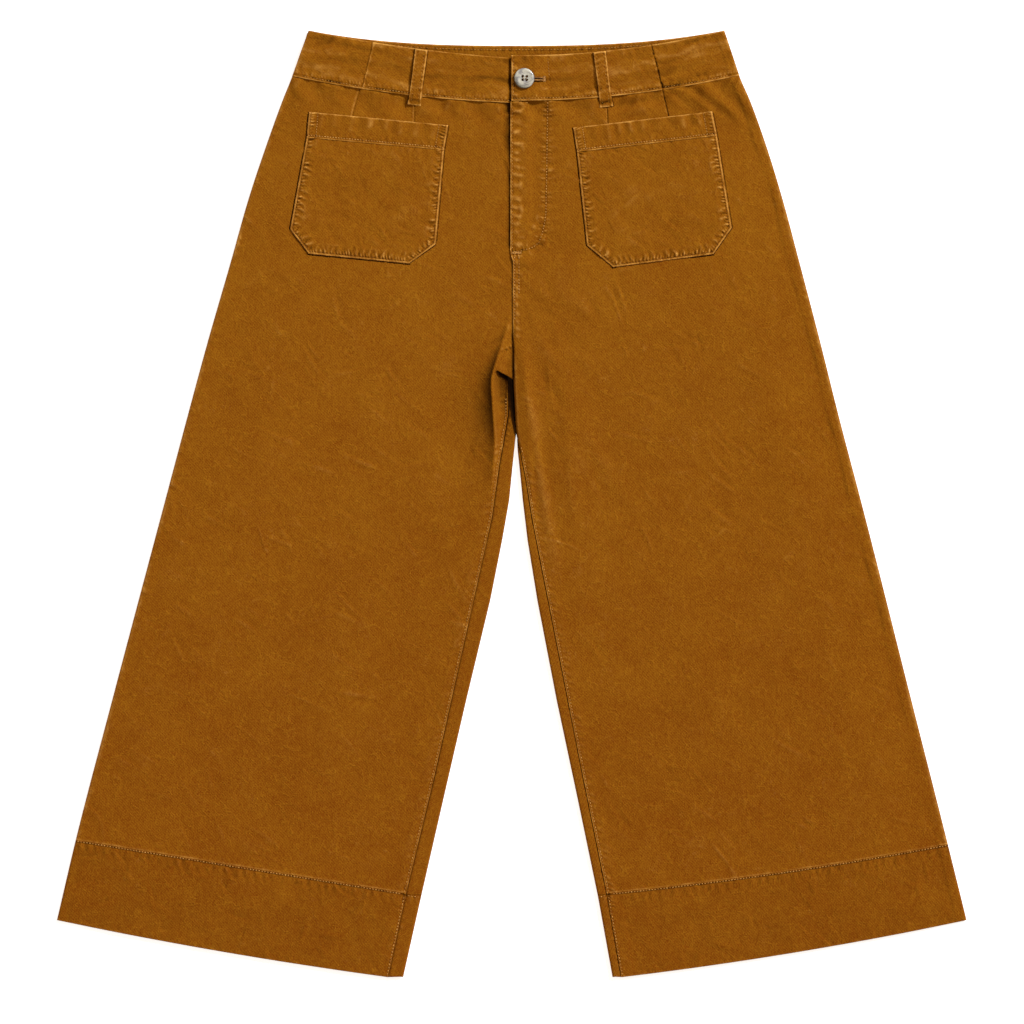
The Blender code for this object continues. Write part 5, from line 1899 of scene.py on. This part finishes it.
def fly_stitches(thread):
    """The fly's curve, two rows down the rise below it, one along its edge, and the bar at its end."""
    surface = front_surface("left")
    runs = [("fly curve", FLY_CURVE, surface)]
    for distance in (1.6, 5.4):
        rise = [(0.9 + distance, y) for y in np.linspace(FLY_END - 3.5, 152 + 6 * distance, 12)]
        runs.append(("rise", rise, surface))
    runs.append(("fly edge", [(0.4, 350.5), (0.4, 224)], surface))
    tack = [(-0.6 + k * 0.36, 219.6 + (k % 2) * 2) for k in range(26)]
    runs.append(("tack", tack, surface))
    stitching("fly_stitches", runs, thread)


def loop_stitches(thread):
    """Two rows down each belt loop."""
    runs = []
    for side in SIGN:
        x0, y0, x1, y1, normal, length = loop_frame(side)

        def on_loop(x, y, side=side, start=(x0, y0), way=(x1 - x0, y1 - y0), normal=normal, length=length):
            v = ((x - start[0]) * way[0] + (y - start[1]) * way[1]) / length ** 2
            w = (x - start[0]) * normal[0] + (y - start[1]) * normal[1]
            return loop_top(side, x, y, np.clip(v, 0, 1), w)[0]

        for w in (-2.9, 2.9):
            run = [(mix(x0, x1, v) + normal[0] * w, mix(y0, y1, v) + normal[1] * w) for v in (0.06, 0.94)]
            runs.append(("loop", run, on_loop))
    stitching("belt_loop_stitches", runs, thread)


# Button and buttonhole

def button_profile():
    """Half section of the button from the middle of its top, over its rim, to the middle below."""
    return np.array([
        (0, 0.8), (0.2, 0.8), (0.36, 0.805), (0.48, 0.82), (0.58, 0.85), (0.66, 0.89), (0.73, 0.93),
        (0.79, 0.955), (0.84, 0.955), (0.89, 0.92), (0.93, 0.85), (0.965, 0.75), (0.99, 0.62), (1, 0.5),
        (0.99, 0.38), (0.95, 0.26), (0.88, 0.16), (0.78, 0.08), (0.66, 0.02), (0.45, 0), (0, 0),
    ]) * (BUTTON_RADIUS, BUTTON_HEIGHT)


def cut_hole(button, x, y, z, horn):
    """Takes a round hole through the button with a cylinder from below its seat to above its rim."""
    around = np.arange(20) * 2 * math.pi / 20
    ring = (x + HOLE_RADIUS * np.cos(around), y + HOLE_RADIUS * np.sin(around))
    points = np.concatenate([lift(*ring, z - 3), lift(*ring, z + 6)])
    index = np.arange(40).reshape(2, 20)
    sides = grid_cells(np.concatenate([index, index[:, :1]], axis=1))[:, ::-1].tolist()
    caps = [list(range(19, -1, -1)), list(range(20, 40))]
    cutter = make_mesh("hole_cutter", points, sides + caps, horn, sharp=40)
    cut = button.modifiers.new("hole", "BOOLEAN")
    cut.object = cutter
    cut.operation = "DIFFERENCE"
    cut.solver = "EXACT"
    bpy.context.view_layer.update()
    finished = button.evaluated_get(bpy.context.evaluated_depsgraph_get())
    cleaned = bpy.data.meshes.new_from_object(finished)
    button.modifiers.clear()
    button.data = cleaned
    bpy.data.objects.remove(cutter, do_unlink=True)


def make_button(horn, thread):
    """Turned button: a profile carried round its axis, dished, with a rim, four holes and its thread."""
    x, y = BUTTON_CENTRE
    seat = float(band_top(np.array(x), np.array(y)) + tab_lift(np.array(x))) + 0.15
    profile = button_profile()
    turns = 96
    angle = np.arange(turns) * 2 * math.pi / turns
    body = profile[1:-1]
    grid = lift(x + body[:, :1] * np.cos(angle), y + body[:, :1] * np.sin(angle), seat + body[:, 1:])
    points = np.concatenate([grid.reshape(-1, 3), [(x, y, seat + profile[0, 1]), (x, y, seat)]])
    index = np.arange(len(body) * turns).reshape(len(body), turns)
    index = np.concatenate([index, index[:, :1]], axis=1)
    top = index.max() + 1
    first, last = index[0].tolist(), index[-1].tolist()
    faces = grid_cells(index).tolist()
    faces += [[top, first[k], first[k + 1]] for k in range(turns)]
    faces += [[top + 1, last[k + 1], last[k]] for k in range(turns)]
    # Painted light of the button: painted highlights on the rim's crest, in the middle and towards the
    # upper left; painted shade at the outer edge and towards the lower left
    share = body[:, :1] / BUTTON_RADIUS
    shade = sum([
        0.15 * bell((share - 0.84) / 0.06) + 0.35 * bell(share / 0.4) - 0.8 * ease((share - 0.93) / 0.06),
        0.55 * share * np.cos(angle - 2.5) * bell((share - 0.4) / 0.35),
        -1 * ease((share - 0.45) / 0.45) * np.clip(np.cos(angle - 3.9), 0, 1),
    ])
    wear_and_painted_light = np.concatenate([shade.ravel(), [0.5, 0]])
    button = make_mesh("button_turned", points, faces, horn, wear_and_painted_light, sharp=40)
    middle = x + 0.4
    for row in (-0.5, 0.5):
        for column in (-0.5, 0.5):
            cut_hole(button, middle + HOLE_PITCH[0] * column, y + HOLE_PITCH[1] * row, seat, horn)
    button.data.name = "button_turned"
    dress(button, "button", "button")

    def arch(px, py):
        """Height of the thread between two holes: over the deck, and down at both ends."""
        span = np.clip(np.abs(py - y) / (HOLE_PITCH[1] / 2), 0, 1)
        return seat + profile[0, 1] + 0.25 - 1.2 * span ** 4

    runs = []
    for row in (-1, 1):
        for strand in range(2):
            at = middle + row * (HOLE_PITCH[0] / 2 - 0.95 + 0.36 * strand)
            runs.append(("button", [(at, y - HOLE_PITCH[1] / 2), (at, y + HOLE_PITCH[1] / 2)], arch))
    stitching("button_thread", runs, thread)


def make_buttonhole(thread):
    """Close stitches along both lips of the slit, and a bar across its end."""
    def on_tab(x, y):
        return band_top(x, y) + tab_lift(x) + 0.35

    runs = []
    for off in (-1.15, 1.15):
        middles, _ = along_path([(19, 373.6 + off), (27.4, 373.4 + 0.8 * off)], 0.5)
        runs += [("buttonhole", [(x, y - 0.62), (x, y + 0.62)], on_tab) for x, y in middles]
    middles, _ = along_path([(28.6, 371.2), (28.6, 375.9)], 0.5)
    runs += [("buttonhole bar", [(x - 1.2, y), (x + 1.2, y)], on_tab) for x, y in middles]
    stitching("buttonhole_thread", runs, thread)


# Stage

FLOOR_HALF = 30000
FLOOR_GAP = 0.35    # between the floor and what rests on it
SENSOR_WIDTH = 36
VIEW_WIDTH = 900.62    # seen at the level of the fronts
VIEW_CENTRE = (0.176, -7.26)
CAMERA_HEIGHT = 6    # in metres, as is the level of the fronts
FRONT_LEVEL = 0.004


def sun(name, energy, angle, towards, tint):
    """A lamp far off in a direction, as wide as an angle in degrees."""
    light = bpy.data.lights.new(name, "SUN")
    light.energy = energy
    light.angle = math.radians(angle)
    light.color = tint
    lamp = bpy.data.objects.new(name, light)
    lamp.rotation_mode = "QUATERNION"
    lamp.rotation_quaternion = Vector(towards).to_track_quat("Z", "Y")
    bpy.context.scene.collection.objects.link(lamp)


def make_stage():
    """Pale floor, soft light from the upper right and a camera straight above."""
    corners = FLOOR_HALF * np.array([(-1, -1), (1, -1), (1, 1), (-1, 1)])
    f = Finish("pale_floor")
    f.surface(Base_Color=(0.9, 0.9, 0.9, 1), Roughness=0.9, Specular_IOR_Level=0.1,
              Emission_Color=(1, 1, 1, 1), Emission_Strength=0.7)
    floor = make_mesh("floor", lift(corners[:, 0], corners[:, 1], -FLOOR_GAP), [[0, 1, 2, 3]], f.material)

    sun("key", 3.3, 12, (0.85, 0.75, 0.85), (1, 1.04, 1.12))
    sun("fill", 0.4, 60, (-0.9, -0.2, 1.6), (1, 1, 1))
    world = bpy.data.worlds.new("studio")
    world.use_nodes = True
    background = world.node_tree.nodes["Background"].inputs
    background["Color"].default_value = (1, 0.84, 0.62, 1)
    background["Strength"].default_value = 0.3
    bpy.context.scene.world = world
    bpy.context.scene.view_settings.view_transform = "Standard"
    bpy.context.scene.view_settings.look = "None"

    camera = bpy.data.cameras.new("camera")
    camera.sensor_width = SENSOR_WIDTH
    camera.lens = SENSOR_WIDTH * (CAMERA_HEIGHT - FRONT_LEVEL) / (VIEW_WIDTH * MM)
    camera.clip_end = 60
    eye = bpy.data.objects.new("camera", camera)
    eye.location = (VIEW_CENTRE[0] * MM, VIEW_CENTRE[1] * MM, CAMERA_HEIGHT)
    bpy.context.scene.collection.objects.link(eye)
    bpy.context.scene.camera = eye


make_stage()
cotton = brushed_cotton("brushed_cotton")
thread = sewing_thread("tan_thread", (216, 158, 78), (166, 108, 40))
pale_thread = sewing_thread("pale_thread", (190, 138, 74), (128, 80, 34))
horn_thread = sewing_thread("horn_thread", (206, 190, 160), (170, 150, 118))
brown_thread = sewing_thread("brown_thread", (128, 78, 26), (84, 46, 12))

make_fronts(cotton)
for side in SIGN:
    make_back(side, cotton)
for side in SIGN:
    make_front_hem(side, cotton)
    make_back_hem(side, cotton)
make_waistband(cotton)
make_back_band(cotton)
for side in SIGN:
    make_pockets(side, cotton)
for side in SIGN:
    make_belt_loop(side, cotton)
for side in SIGN:
    pocket_stitches(side, thread, brown_thread)
    leg_stitches(side, thread)
band_stitches(thread)
fly_stitches(thread)
loop_stitches(thread)
make_button(marbled_horn("marbled_horn"), horn_thread)
make_buttonhole(pale_thread)
